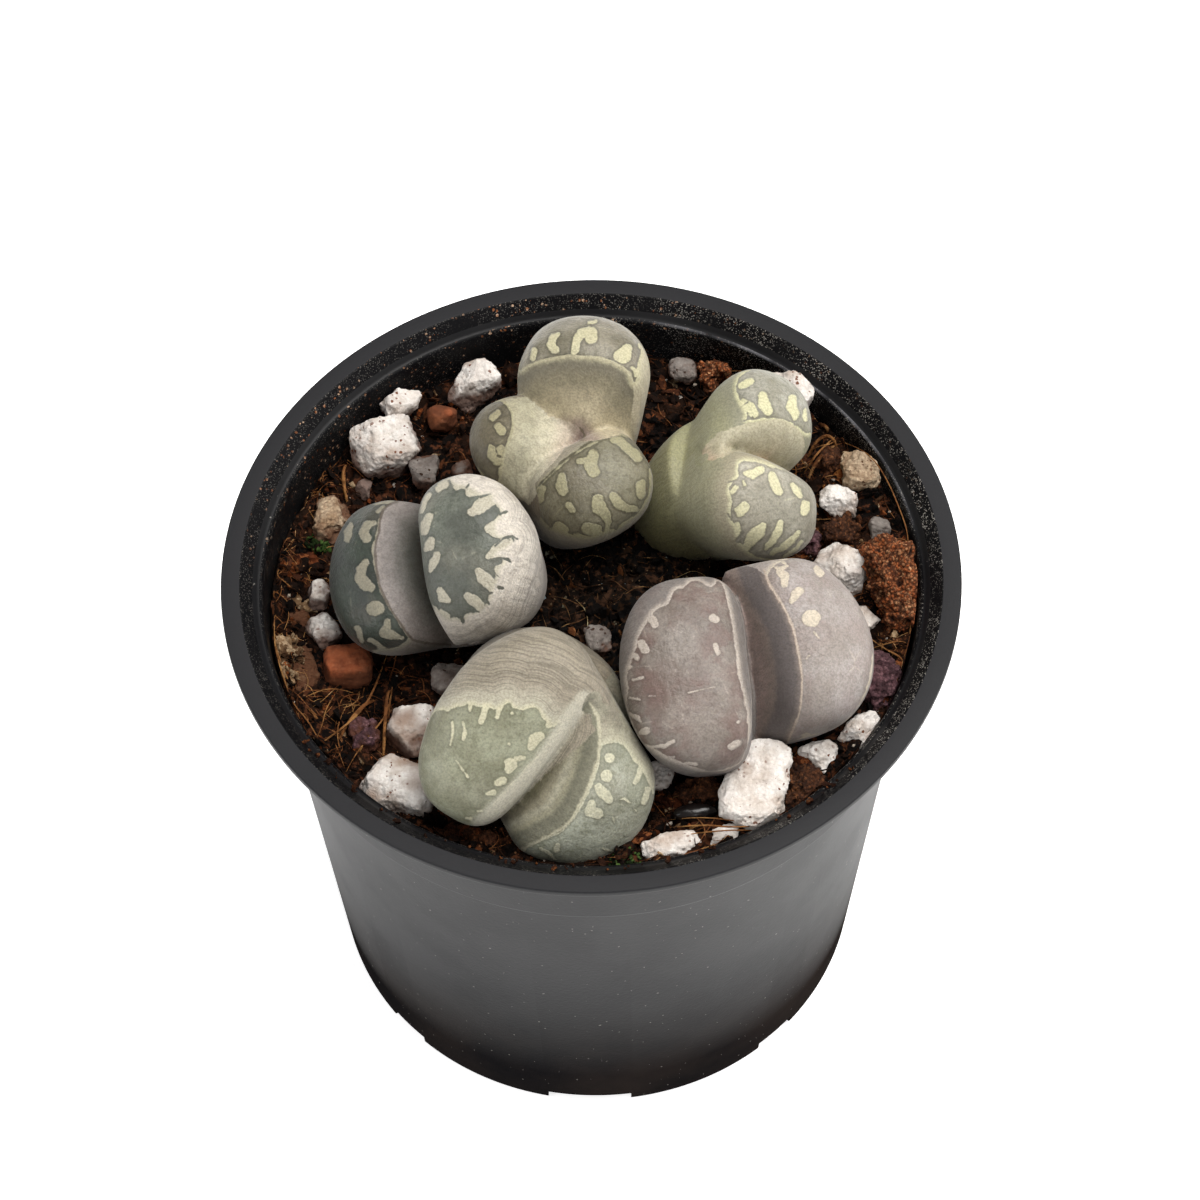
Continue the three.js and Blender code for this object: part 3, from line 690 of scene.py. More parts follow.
# plants: the sizes of every lobe are those of the solids, and its reach is where it also comes to, as x, y in
# the photograph and the height. own is how far it owns the skin round such a place.
lobeShape = {"long": 20, "shoulder": 2.5, "taper": 1.5, "flat": 3.6, "round": 2.1, "ridge": 0.4,
             "slide": 0, "lift": 0, "reach": [], "own": 2.6}
lobeKeys = ("turn", "tilt", "half", "out", "bulge", "dome", "slide", "lift")
skin = {"around": 96, "along": 72, "voxel": 0.24, "relax": 8, "fine": 0.35, "pixel": 0.102, "swell": 0.22}
plants = {
    "lithops_left": {
        "at": (-16.1, -2.1, 67.5), "lean": 36, "leanTo": 219, "turn": 4, "cleft": 7.2, "bodyRadius": 8,
        "root": 13.5, "under": 6,
        "lobes": [
            (-2, 2, 8.2, 10.8, 0.6, 5.8, -0.2, -0.8, {"own": 1, "reach": [(454, 646, 62.5)]}),
            (177, 17, 7.9, 10.2, 0.8, 5.4, 0.3, 0, {}),
        ],
    },
    "lithops_back": {
        "at": (-2.5, 14.1, 67), "lean": 4.4, "leanTo": 135, "turn": -6, "cleft": 8.4, "bodyRadius": 5.6,
        "root": 10.7, "under": 8,
        "lobes": [
            (82, 17, 6.7, 10, 0.7, 5.8, -0.9, 3.5,
             {"reach": [(590, 440, 66), (618, 442, 66), (573, 427, 66.5), (578, 414, 69.4),
                        (594, 426, 68.9)]}),
            (193, 21, 4.8, 6.7, 1.7, 5.2, 0, 0,
             {"reach": [(572, 436, 67.5), (548, 468, 67), (524, 500, 65)]}),
            (-52, 21, 6.3, 8.8, 1.6, 5.4, -0.7, -0.9, {}),
        ],
    },
    "lithops_right_back": {
        "at": (17.8, 10.6, 66), "lean": 40, "leanTo": -5, "turn": 89, "cleft": 8, "web": (6.2, 6.2),
        "webDepth": 12, "webSteps": [(0, 99), (0.8, 1), (1.6, -1), (2.4, -2.5), (3, -4), (3.6, -5.5)],
        "bodyRadius": 7.5, "root": 14.5, "under": 6,
        "lobes": [
            (6, 11, 5.5, 8.5, 1.5, 5.4, 0, 0.3,
             {"own": 1.7, "reach": [(704, 449, 69.8), (716, 444, 70.6)]}),
            (180, 11, 6.9, 8.8, 1.1, 4.9, 0, -0.3, {"own": 1, "reach": [(704, 455, 69.6)]}),
        ],
    },
    "lithops_right": {
        "at": (15.5, -13.6, 67), "lean": 18, "leanTo": -45, "turn": 13, "cleft": 6.4, "bodyRadius": 7.8,
        "root": 15, "under": 6,
        "lobes": [
            (5, 15, 9.1, 11.4, 0.7, 6.5, 0, -0.4, {"reach": [(724, 571, 68.5)]}),
            (172, 8, 10.1, 12, 0.9, 4.6, 1.7, -0.6, {}),
        ],
    },
    "lithops_front": {
        "at": (-5.1, -23.7, 65.5), "lean": 56, "leanTo": -84, "turn": -34, "cleft": 7.9, "web": (5.5, 9.4),
        "webDepth": 12, "webSteps": [(0, 99), (0.4, -1), (0.9, -3), (1.5, -5), (2.2, -7)],
        "bodyRadius": 9.3, "root": 18.6, "under": 6,
        "lobes": [
            (-4, 17, 7.8, 11.1, 1.3, 6.2, -1.8, 0, {"own": 1, "reach": [(589, 701, 71), (601, 717, 69.4)]}),
            (182, 8, 10.7, 10.5, 1.8, 5.1, -0.3, 0.4, {}),
        ],
    },
}

# the pattern of each lobe, read in the photograph: window = outline of its dark top, as x and y in turn;
# marks and veins = pale and dark strokes of x, y and radius in turn; crest = the edge towards the cleft;
# inner = outline of the cleft side
patterns = {
    "lithops_left": [
        {
            "window": [447, 479, 455, 487, 466, 488, 472, 492, 481, 497, 491, 495, 490, 503, 498, 506, 501,
                513, 492, 522, 494, 537, 505, 539, 511, 540, 503, 547, 495, 549, 490, 559, 502, 559, 503,
                563, 497, 566, 496, 578, 490, 590, 488, 597, 486, 604, 476, 611, 468, 612, 462, 620, 455,
                617, 449, 619, 441, 612, 430, 602, 424, 588, 418, 574, 414, 558, 411, 540, 410, 524, 411,
                510, 416, 498, 426, 486, 438, 479],
            "marks": [[438, 489, 3, 444, 484, 5], [457, 487, 3.5, 462, 483, 6],
                [470, 493, 4.5, 476, 489, 6.5, 484, 485, 7],
                [472, 512, 4.5, 478, 508, 7, 486, 502, 7, 494, 499, 5],
                [489, 529, 4.5, 496, 529, 8.5, 506, 529, 9], [488, 556, 3, 496, 551, 6, 506, 546, 7],
                [499, 569, 4, 506, 568, 6], [478, 571, 3.5, 484, 578, 6.5, 492, 586, 6.5],
                [467, 596, 3.5, 472, 600, 5.5, 480, 605, 5], [429, 494, 2.5, 424, 503, 3, 421, 512, 2],
                [429, 516, 3.5, 426, 524, 5.5, 424, 532, 3.5], [431, 540, 3.5, 429, 546, 4.5, 426, 549, 3],
                [437, 555, 3.2, 434, 562, 5, 431, 570, 3], [440, 591, 3.6, 443, 597, 5.2, 447, 600, 3.6],
                [441, 611, 2, 446, 616, 4]],
            "veins": [[480, 497, 1.4, 491, 494, 0.8], [466, 488, 1.8, 469, 484, 1],
                [452, 485, 1.5, 449, 481, 1], [500, 514, 1.8, 507, 512, 1], [494, 509, 2, 496, 504, 0.8],
                [495, 546, 1.6, 504, 538, 1.8, 512, 536, 1.5, 517, 539, 1], [512, 537, 1.2, 514, 541, 0.8],
                [490, 560, 1.5, 502, 558, 1.2, 508, 560, 1.8, 511, 563, 0.8],
                [495, 574, 1.2, 500, 578, 0.8], [499, 588, 2, 503, 588, 1.5], [486, 594, 2, 492, 593, 1],
                [485, 600, 1.6, 489, 604, 0.8], [472, 610, 2, 479, 612, 1], [462, 617, 2, 463, 624, 0.8]],
        },
        {
            "window": [396, 500, 386, 508, 379, 516, 377, 530, 375, 538, 372, 545, 372, 555, 374, 565, 376,
                575, 378, 583, 380, 592, 384, 600, 388, 607, 392, 612, 396, 619, 400, 626, 405, 633, 409,
                640, 400, 645, 392, 648, 384, 649, 376, 650, 360, 652, 345, 645, 330, 628, 322, 608, 318,
                590, 318, 570, 322, 555, 326, 542, 334, 526, 345, 515, 358, 506, 372, 500, 385, 498],
            "marks": [[374, 523, 2.5, 367, 525, 5, 363, 533, 4.5, 367, 538, 4.8],
                [351, 526, 3, 348, 533, 4.5, 347, 540, 3.2],
                [366, 562, 3.2, 361, 569, 5.2, 360, 578, 5.5, 365, 584, 6.2, 371, 588, 4.2],
                [374, 609, 7.4, 377, 608, 7.2],
                [388, 621, 3, 387, 627, 4.6, 384, 633, 4.5, 392, 635, 4.6, 402, 638, 2.6],
                [383, 507, 2.6, 378, 511, 2.6], [357, 628, 2.6, 360, 635, 3, 362, 641, 2],
                [369, 640, 2, 376, 643, 2.4, 383, 649, 2.4], [368, 505, 1.2, 380, 503, 1.8, 392, 501, 2]],
            "veins": [[380, 548, 1, 376, 552, 1], [398, 616, 1.5, 403, 622, 1, 410, 637, 1]],
            "crest": [398, 501, 390, 504, 383, 510, 380, 520, 379, 532, 376, 542, 375, 552, 376, 565, 378,
                577, 380, 587, 384, 596, 389, 606, 394, 614, 400, 623, 406, 632, 413, 640, 425, 643, 450,
                645],
            "inner": [400, 494, 421, 494, 430, 520, 432, 545, 436, 565, 441, 590, 450, 610, 460, 630, 465,
                648, 440, 644, 420, 643, 412, 640, 405, 632, 398, 622, 391, 609, 384, 597, 379, 585, 376,
                570, 374, 552, 376, 541, 379, 530, 380, 515, 386, 507, 395, 501],
        },
    ],
    "lithops_back": [
        {
            "window": [518, 374, 528, 366, 540, 361, 555, 357, 570, 355, 580, 356, 590, 356, 600, 357, 612,
                361, 622, 366, 630, 373, 634, 384, 638, 376, 637, 366, 640, 356, 641, 346, 636, 336, 630,
                322, 612, 310, 596, 306, 580, 308, 560, 314, 543, 325, 528, 336, 518, 352],
            "marks": [[534, 350, 3, 533, 358, 3],
                [558, 334, 1.8, 553, 338, 4, 551, 345, 4.3, 555, 350, 4.2], [589, 323, 1.5, 596, 321, 1.8],
                [592, 331, 5, 591, 339, 5.6], [590, 331, 5.2, 581, 334, 4.6, 576, 342, 3.8, 575, 351, 3.8],
                [627, 349, 5, 623, 356, 7.6, 620, 356, 6], [639, 344, 2, 640, 348, 1.6],
                [632, 369, 2.6, 637, 373, 4, 643, 366, 3.4, 645, 358, 3]],
            "veins": [[628, 368, 1.3, 633, 375, 1.3, 634, 381, 1]],
            "crest": [520, 372, 528, 366, 540, 361, 555, 358, 570, 356, 580, 357, 590, 357, 600, 358, 612,
                362, 622, 367, 630, 374, 633, 384],
            "inner": [516, 374, 528, 366, 540, 361, 555, 357, 570, 355, 590, 356, 600, 357, 612, 361, 622,
                366, 630, 374, 633, 384, 634, 400, 630, 420, 634, 450, 600, 450, 560, 440, 530, 420, 506,
                404, 510, 388],
        },
        {
            "window": [490, 403, 500, 401, 507, 405, 512, 413, 513, 425, 511, 435, 507, 445, 504, 457, 501,
                470, 499, 484, 488, 478, 478, 468, 468, 450, 464, 438, 464, 425, 470, 410, 480, 402],
            "marks": [[498, 413, 3, 493, 418, 4], [498, 426, 4, 501, 431, 4.4],
                [491, 449, 4, 492, 455, 5, 498, 461, 5], [500, 449, 4, 502, 453, 4],
                [500, 469, 2, 499, 474, 1.5]],
            "veins": [[498, 456, 1.4, 500, 457, 1.2], [506, 449, 1, 505, 456, 1.2]],
            "crest": [507, 404, 512, 412, 513, 425, 511, 435, 507, 445, 504, 457, 501, 470, 499, 484],
            "inner": [505, 398, 522, 396, 545, 402, 560, 408, 572, 418, 582, 432, 584, 442, 570, 460, 552,
                476, 540, 490, 528, 508, 505, 500, 499, 486, 501, 470, 504, 457, 507, 445, 511, 435, 513,
                425, 512, 413, 508, 405],
        },
        {
            "window": [534, 497, 539, 487, 550, 476, 562, 465, 573, 456, 584, 449, 597, 443, 607, 438, 612,
                435, 625, 436, 638, 443, 646, 452, 650, 465, 650, 480, 649, 492, 644, 504, 636, 514, 628,
                519, 618, 527, 605, 531, 592, 536, 580, 536, 565, 532, 555, 529, 548, 527, 540, 516, 535,
                506],
            "marks": [[613, 440, 3.2, 620, 441, 4.4, 626, 447, 4.8, 634, 453, 5, 638, 458, 4.4],
                [641, 484, 4.6, 641, 494, 5], [650, 470, 1.5, 650, 478, 1.5],
                [593, 455, 5.4, 590, 465, 7, 594, 471, 6.2], [590, 460, 4.4, 579, 461, 3.2],
                [562, 477, 4.3, 561, 486, 6.2, 563, 491, 5.2], [543, 489, 3.4, 540, 499, 3.8],
                [569, 506, 4, 572, 510, 4], [598, 501, 6.2, 599, 507, 7.4, 605, 514, 4.8, 608, 521, 3.4],
                [613, 496, 4, 618, 503, 5.8, 627, 508, 4.4, 637, 510, 2.6], [588, 529, 6, 597, 530, 6.2],
                [558, 527, 5.4, 564, 530, 4.6], [574, 535, 2, 585, 538, 2.4], [608, 524, 2.6, 607, 532, 2.6]],
            "veins": [[603, 524, 2, 603, 531, 1.2], [613, 515, 3, 617, 521, 3, 616, 528, 1.8],
                [549, 528, 1.5, 553, 522, 1],
                [533, 492, 0.9, 545, 479, 1, 565, 459, 1, 590, 442, 1, 612, 436, 1]],
        },
    ],
    "lithops_right_back": [
        {
            "window": [737, 382, 743, 374, 755, 368, 770, 368, 787, 372, 800, 382, 810, 396, 815, 412, 814,
                432, 806, 434, 800, 428, 790, 422, 780, 418, 768, 418, 755, 420, 745, 421, 748, 414, 742,
                404, 737, 394],
            "marks": [[740, 386, 3, 747, 383, 4, 751, 381, 3], [762, 396, 4.4, 764, 404, 6, 768, 411, 4.4],
                [793, 398, 3.8, 791, 406, 5.2, 795, 413, 4.2, 795, 417, 2.8], [805, 410, 1.8, 805, 420, 2],
                [743, 401, 2.4, 749, 407, 5.4, 754, 414, 4.6]],
            "veins": [[741, 407, 0.9, 748, 402, 1.1], [744, 421, 1.5, 752, 418, 1.5]],
            "crest": [730, 429, 745, 426, 752, 424, 762, 422, 772, 420, 782, 420, 790, 424, 798, 431, 803,
                439, 803, 447, 800, 458],
            "inner": [700, 452, 710, 440, 720, 432, 735, 427, 752, 423, 765, 420, 780, 419, 792, 424, 801,
                432, 805, 443, 803, 458, 803, 476, 785, 474, 765, 468, 735, 464, 705, 460],
        },
        {
            "window": [740, 461, 750, 461, 765, 465, 780, 469, 795, 474, 807, 482, 818, 494, 823, 510, 822,
                528, 814, 542, 804, 554, 788, 560, 775, 560, 758, 557, 750, 553, 742, 545, 738, 535, 736,
                525, 731, 520, 730, 510, 733, 500, 729, 492, 731, 483, 739, 477, 738, 468],
            "marks": [[746, 473, 3.2, 753, 474, 4.8, 761, 470, 4], [743, 481, 2, 745, 485, 1.8],
                [772, 475, 3.5, 774, 483, 5.2, 779, 492, 3.8], [792, 485, 2.4, 797, 491, 4, 800, 496, 2.4],
                [806, 504, 4.4, 805, 511, 4.6], [736, 487, 2.6, 732, 492, 2.4],
                [740, 513, 4.4, 744, 507, 5, 737, 510, 3],
                [763, 526, 4, 758, 532, 6.4, 751, 540, 5.6, 747, 547, 4],
                [780, 524, 3.4, 778, 532, 4.6, 772, 541, 3.4, 766, 549, 2.4],
                [798, 533, 2.4, 792, 541, 3.8, 784, 547, 3.4, 772, 553, 2.4],
                [802, 541, 1.6, 795, 549, 2.2, 785, 556, 2], [737, 524, 2, 739, 532, 3]],
            "veins": [[742, 472, 1.4, 750, 467, 1.8], [728, 482, 1, 735, 481, 1.2, 738, 486, 1],
                [728, 514, 1, 732, 520, 1.2, 741, 522, 1.2], [738, 541, 2, 742, 533, 1.6, 748, 526, 1]],
            "crest": [703, 453, 715, 455, 730, 457, 745, 461, 760, 465, 775, 469, 790, 475, 800, 482, 808,
                489],
        },
    ],
    "lithops_right": [
        {
            "window": [768, 572, 778, 563, 786, 558, 797, 556, 810, 558, 824, 564, 840, 575, 853, 590, 864,
                610, 872, 635, 873, 658, 868, 684, 858, 708, 844, 728, 824, 742, 800, 748, 786, 746, 793,
                730, 798, 718, 801, 705, 802, 690, 802, 675, 800, 660, 797, 645, 794, 630, 788, 615, 780,
                600, 772, 588, 767, 580],
            "marks": [[779, 572, 2.8, 785, 576, 4.6, 784, 584, 3.2],
                [799, 591, 4, 795, 595, 4.6, 791, 602, 1.8], [810, 618, 8, 813, 618, 8.2],
                [817, 568, 3, 820, 573, 4.2], [772, 566, 1.3, 780, 569, 1.8, 787, 566, 1.3, 783, 562, 1],
                [803, 737, 2.4, 808, 735, 3], [806, 659, 0.9, 809, 656, 0.8], [814, 632, 0.7, 819, 638, 0.8]],
            "crest": [764, 570, 768, 580, 772, 588, 780, 600, 788, 615, 794, 630, 797, 645, 800, 660, 802,
                675, 802, 690, 801, 705, 798, 718, 793, 730, 786, 746],
            "inner": [716, 562, 735, 562, 750, 566, 764, 574, 768, 580, 772, 588, 780, 600, 788, 615, 794,
                630, 797, 645, 800, 660, 802, 675, 802, 690, 801, 705, 798, 718, 793, 730, 786, 750, 760,
                752, 740, 752, 738, 700, 735, 650, 725, 600],
        },
        {
            "window": [718, 580, 714, 587, 706, 586, 699, 581, 690, 580, 686, 588, 675, 589, 671, 597, 668,
                605, 658, 608, 652, 613, 647, 622, 642, 630, 638, 640, 636, 650, 632, 660, 628, 670, 627,
                680, 629, 690, 627, 700, 628, 710, 632, 722, 638, 732, 642, 742, 650, 746, 660, 752, 670,
                758, 682, 762, 695, 767, 710, 772, 730, 768, 746, 758, 748, 742, 748, 725, 746, 710, 743,
                695, 739, 680, 737, 660, 734, 640, 731, 620, 727, 600, 723, 586],
            "marks": [[713, 618, 3.8, 717, 620, 3], [715, 646, 2.8, 718, 653, 2.3],
                [731, 747, 3.3, 738, 743, 3.6], [738, 722, 1.2, 739, 721, 1], [686, 582, 3, 682, 587, 2],
                [658, 604, 2.5, 665, 603, 2], [652, 620, 4.5, 655, 624, 4], [640, 628, 2],
                [641, 643, 4, 645, 649, 5], [634, 655, 3.5, 637, 658, 2.5], [628, 668, 2, 631, 667, 1.2],
                [633, 680, 1.6, 643, 677, 1.2], [630, 698, 1.2, 640, 700, 1],
                [630, 714, 2, 638, 718, 3, 641, 722, 1], [640, 733, 2, 646, 731, 4],
                [650, 747, 1.5, 664, 746, 2, 673, 741, 2.4], [662, 757, 1, 674, 757, 1.4],
                [686, 763, 1.5, 696, 764, 2], [688, 693, 0.5, 700, 690, 0.9, 715, 687, 0.6],
                [649, 696, 0.7, 655, 696, 0.7]],
            "crest": [719, 570, 723, 582, 727, 600, 731, 620, 734, 640, 737, 660, 739, 680, 743, 695, 746,
                710, 748, 725, 748, 742, 745, 756],
        },
    ],
    "lithops_front": [
        {
            "window": [601, 746, 608, 744, 616, 743, 624, 746, 630, 754, 634, 762, 640, 766, 646, 778, 652,
                792, 660, 806, 657, 824, 650, 842, 634, 858, 615, 870, 595, 875, 570, 875, 548, 868, 532,
                860, 522, 850, 545, 840, 562, 832, 572, 822, 580, 810, 588, 797, 595, 780, 600, 762],
            "marks": [[609, 758, 5, 610, 758, 5], [606, 776, 5.6, 607, 776, 5.6],
                [599, 788, 4.6, 604, 794, 6.2, 609, 799, 4.6],
                [592, 804, 4.2, 590, 812, 5.4, 598, 814, 5.6], [558, 845, 2.6, 557, 850, 3.2],
                [540, 849, 1, 548, 853, 1.6, 555, 860, 1.2], [641, 765, 2, 638, 777, 2.8, 635, 783, 1.6],
                [648, 790, 3, 644, 802, 3], [603, 849, 1, 613, 852, 1.7, 622, 850, 1],
                [618, 800, 0.7, 624, 799, 1.3, 630, 803, 0.6], [633, 808, 0.8, 636, 811, 1],
                [613, 818, 0.6, 614, 823, 0.8]],
            "crest": [590, 703, 598, 715, 600, 730, 600, 745, 598, 760, 593, 775, 585, 795, 578, 808, 570,
                822, 560, 830, 545, 838, 530, 846, 520, 850],
            "inner": [586, 700, 592, 704, 598, 715, 600, 730, 600, 745, 599, 760, 594, 775, 586, 795, 579,
                808, 571, 822, 561, 831, 546, 839, 530, 847, 512, 854, 480, 830, 500, 790, 540, 750, 570,
                712],
        },
        {
            "window": [420, 724, 432, 714, 441, 709, 449, 712, 455, 706, 462, 707, 470, 703, 479, 708, 488,
                705, 495, 711, 503, 706, 508, 702, 513, 708, 521, 711, 530, 707, 537, 709, 541, 716, 548,
                722, 552, 728, 560, 722, 558, 730, 552, 737, 545, 748, 535, 758, 524, 770, 512, 783, 500,
                795, 492, 805, 484, 815, 478, 830, 462, 832, 448, 825, 432, 812, 420, 795, 412, 775, 411,
                750],
            "marks": [[481, 722, 2.6, 484, 712, 3, 487, 704, 3], [497, 717, 2.6, 500, 706, 3.4],
                [514, 706, 2.6, 518, 702, 3], [549, 725, 3, 553, 719, 4.6],
                [463, 722, 0.9, 465, 732, 2, 463, 739, 1], [452, 722, 0.9, 453, 732, 0.9, 450, 745, 1.2],
                [456, 760, 0.7, 468, 777, 0.9], [540, 736, 4.6, 534, 740, 6.6, 531, 747, 4.2],
                [511, 765, 7, 509, 769, 4.6], [516, 759, 2.8, 524, 758, 1.8],
                [497, 783, 3.2, 503, 781, 3.8], [487, 794, 2, 493, 793, 3.6], [478, 811, 1.3, 482, 811, 1],
                [466, 818, 1.6, 471, 819, 1.6], [512, 713, 1.3], [509, 744, 1.2],
                [470, 703, 1.6, 470, 710, 1]],
            "crest": [585, 699, 574, 713, 562, 730, 551, 747, 540, 763, 524, 781, 508, 797, 494, 811, 480,
                824],
        },
    ],
}

# colours of each lobe's skin: the window, its flecks, the pale marks, the margin round the window, the body
# further out and down, whose second colour lower down is darker as painted shade, and how dark the window's
# outline is, partly painted shade. Then what differs from skinLook: the cleft side outwards from its crest, a
# thin line along that crest, partly its own band and partly painted light and shade of its sharp edge, and
# the strength of blush, streaks, folds and rings
lookKeys = ("window", "fleck", "pale", "margin", "body", "outline")
skinLook = {"lineWide": 0.0, "line": "000000", "inner": [], "innerWide": 5.0, "blush": "8a7d70",
            "blushShare": 0.15, "rimBlush": 0.0, "streak": 0.3, "folds": 0.3, "rings": 0.15}
skinLooks = {
    "lithops_left": [
        (("555850", "73776c"), "3f443b", "bdb7a4", "d4ccc0", ("d6cfc4", "928880"), 0.3, {"rings": 0.4}),
        # this lobe is painted darker than the other lobe: partly its own darker skin, partly painted shade on
        # the side turned from the light
        (("252a25", "384037"), "1f231e", "8d8876", "7f7870", ("766f68", "5b544c"), 0.3, {
            "line": "53493f", "lineWide": 0.2,
            "inner": [(0, "8b837e"), (0.25, "79726e"), (0.5, "64615c"), (0.75, "50504a"), (1, "5b564f")]}),
    ],
    "lithops_back": [
        # the inner stops from 0.88 on darken deep in the cleft: painted shade
        (("726d5c", "908a7a"), "575443", "c2bc9b", "b9b197", ("c2b89e", "7c725d"), 0.5, {
            "line": "aca589", "lineWide": 0.22, "innerWide": 8.0,
            "inner": [(0, "a7a184"), (0.08, "736d5c"), (0.3, "8e866e"), (0.5, "a79c81"), (0.7, "bdb194"),
                      (0.88, "a49386"), (1, "7c6d5b")]}),
        # the inner stops from 0.9 on darken deep in the cleft: painted shade
        (("5d5645", "746d5a"), "484233", "9f9878", "7f7660", ("7b715c", "5d5442"), 0.5, {
            "line": "a7a183", "lineWide": 0.2, "innerWide": 8.0,
            "inner": [(0, "a7a187"), (0.2, "a9a48c"), (0.45, "c2bca5"), (0.7, "c6b9a7"), (0.9, "a5938a"),
                      (1, "84766f")]}),
        (("67624f", "817d68"), "4d4834", "9e997a", "968f7e", ("8d8576", "61594c"), 0.55, {}),
    ],
    "lithops_right_back": [
        (("85826f", "a5a295"), "646150", "cdc9a3", "8f8d78", ("9c9a7b", "979469"), 0.35, {
            "streak": 0.1, "folds": 0.12, "line": "b5ae94", "lineWide": 0.15, "innerWide": 4.0,
            "blush": "6a6b60", "blushShare": 0.3,
            "inner": [(0, "bcb59c"), (0.2, "b3ac94"), (0.6, "b3aa91"), (1, "c2ac92")]}),
        (("989384", "b3ae9f"), "6f6a58", "d0cba8", "a29a84", ("9e9b80", "928f66"), 0.4, {
            "streak": 0.1, "folds": 0.12, "blush": "6e6d60", "blushShare": 0.3}),
    ],
    "lithops_right": [
        (("948b84", "a79f9b"), "7f7570", "ccc0ad", "a79e98", ("a79f99", "736a65"), 0.15, {
            "line": "baaa9b", "lineWide": 0.17, "blush": "8e7b76", "blushShare": 0.25, "rimBlush": 0.3,
            "inner": [(0, "a99789"), (0.06, "7b706a"), (0.15, "635b59"), (0.45, "625a58"), (0.62, "81726a"),
                      (0.8, "87756e"), (1, "6c5d57")]}),
        (("736961", "8b827a"), "615751", "bbb0a5", "7e7772", ("7b7370", "5a514e"), 0.25, {
            "blush": "6e5650", "blushShare": 0.32, "rimBlush": 0.6}),
    ],
    "lithops_front": [
        (("8c8e7c", "a7a999"), "72745d", "c8c5ac", "b1ad98", ("9c9885", "686454"), 0.3, {
            "line": "b9b49c", "lineWide": 0.15,
            "inner": [(0, "b5b098"), (0.07, "797765"), (0.3, "696756"), (0.42, "8b8771"), (0.55, "9c9884"),
                      (0.7, "87816c"), (1, "69654d")]}),
        (("7b7a63", "999a83"), "67664d", "cdc8ab", "b7b19e", ("9a9180", "716858"), 0.25, {
            "streak": 0.12, "folds": 0.08, "blush": "857d6c", "blushShare": 0.2, "line": "cdc8b6",
            "lineWide": 1.25, "rings": 0.5}),
    ],
}


def power(value, exponent):
    return math.copysign(abs(value) ** exponent, value)


def headMatrix(plant):  # from the head's own millimetres to the pot's
    heading = math.radians(plant["leanTo"])
    axis = Vector((-math.sin(heading), math.cos(heading), 0))
    place = Matrix.Translation(plant["at"]) @ Matrix.Rotation(math.radians(plant["lean"]), 4, axis)
    return place @ Matrix.Rotation(math.radians(plant["turn"]), 4, "Z")


def lobeMatrix(plant, lobe):  # from the lobe's own millimetres to the pot's
    place = headMatrix(plant) @ Matrix.Rotation(math.radians(lobe["turn"]), 4, "Z")
    place = place @ Matrix.Translation((0, 0, lobe["lift"] - plant["cleft"]))
    place = place @ Matrix.Rotation(math.radians(lobe["tilt"]), 4, "Y")
    return place @ Matrix.Translation((0, lobe["slide"], plant["cleft"]))


def allLobes(plant):  # each with all its values; the last one is the body under the others
    radius = plant["bodyRadius"]
    body = {"half": radius, "out": radius, "bulge": radius, "dome": 1, "long": plant["root"], "flat": 2.1,
            "ridge": 0, "turn": 0, "tilt": 0, "lift": -plant["under"]}
    upper = [{**lobeShape, **dict(zip(lobeKeys, row)), **row[-1]} for row in plant["lobes"]]
    return upper + [{**lobeShape, **body}]


def addLobe(bm, plant, lobe):
    made = bmesh.ops.create_uvsphere(bm, u_segments=skin["around"], v_segments=skin["along"], radius=1)
    centre = lobe["ridge"] * lobe["out"]
    place = lobeMatrix(plant, lobe)
    for v in made["verts"]:
        turn = math.atan2(v.co.y, v.co.x)
        drop = math.acos(max(-1.0, min(1.0, v.co.z)))
        upper = drop < math.pi / 2
        sharp = lobe["shoulder"] if upper else lobe["taper"]
        ring = power(abs(math.sin(drop)), 2 / sharp)
        rise = power(abs(math.cos(drop)), 2 / sharp)
        side = lobe["flat"] if math.cos(turn) < 0 else lobe["round"]
        across = power(math.cos(turn), 2 / side)
        beside = power(math.sin(turn), 2 / side)
        reach = centre + lobe["bulge"] if across < 0 else lobe["out"] - centre
        x = centre * (1 if upper else 1 - 0.9 * rise) + reach * across * ring
        z = lobe["dome"] * rise if upper else -lobe["long"] * rise
        v.co = place @ Vector((x, lobe["half"] * beside * ring, z)) * mm
    return made["verts"]


def addHull(bm, points):  # a tight skin over some points
    if len(points) < 8:
        return
    corners = [bm.verts.new(point) for point in points]
    made = bmesh.ops.convex_hull(bm, input=corners, use_existing_faces=False)
    loose = {v for v in made["geom_interior"] + made["geom_unused"] if isinstance(v, bmesh.types.BMVert)}
    bmesh.ops.delete(bm, geom=list(loose), context="VERTS")


def addBridges(bm, plant, lobeVerts):  # what fills the cleft's ends and carries an inner face to its foot
    inverse = headMatrix(plant).inverted()
    spots = [[(inverse @ (v.co / mm), v.co.copy()) for v in verts] for verts in lobeVerts]
    for shift, top in plant.get("webSteps", []):  # each step down closes the cleft a little further in
        foot = -plant["webDepth"]
        points = []
        for near, beyond in zip(spots, plant["web"]):
            points += [co for spot, co in near if spot.y > beyond - shift and foot < spot.z < top]
        addHull(bm, points)
    for lobeSpots, lobe in zip(spots, allLobes(plant)):
        if lobe["reach"]:
            points = [co for spot, co in lobeSpots if spot.z > -6]
            addHull(bm, points + [fromPhoto(*spot) * mm for spot in lobe["reach"]])


def fromSegment(points, x0, y0, x1, y1):  # how far along a segment each point lies, and how far from it
    along = np.array((x1 - x0, y1 - y0), float)
    share = np.clip((points - (x0, y0)) @ along / max(along @ along, 1e-6), 0, 1)
    near = np.array((x0, y0)) + share[:, None] * along
    return share, np.linalg.norm(points - near, axis=1)


def strokeReach(points, stroke):  # how far inside a stroke each photo point lies, in pixels
    best = np.full(len(points), -999.0)
    for (x0, y0, r0), (x1, y1, r1) in zip(stroke, stroke[1:] or stroke):
        share, distance = fromSegment(points, x0, y0, x1, y1)
        best = np.maximum(best, r0 + (r1 - r0) * share - distance)
    return best


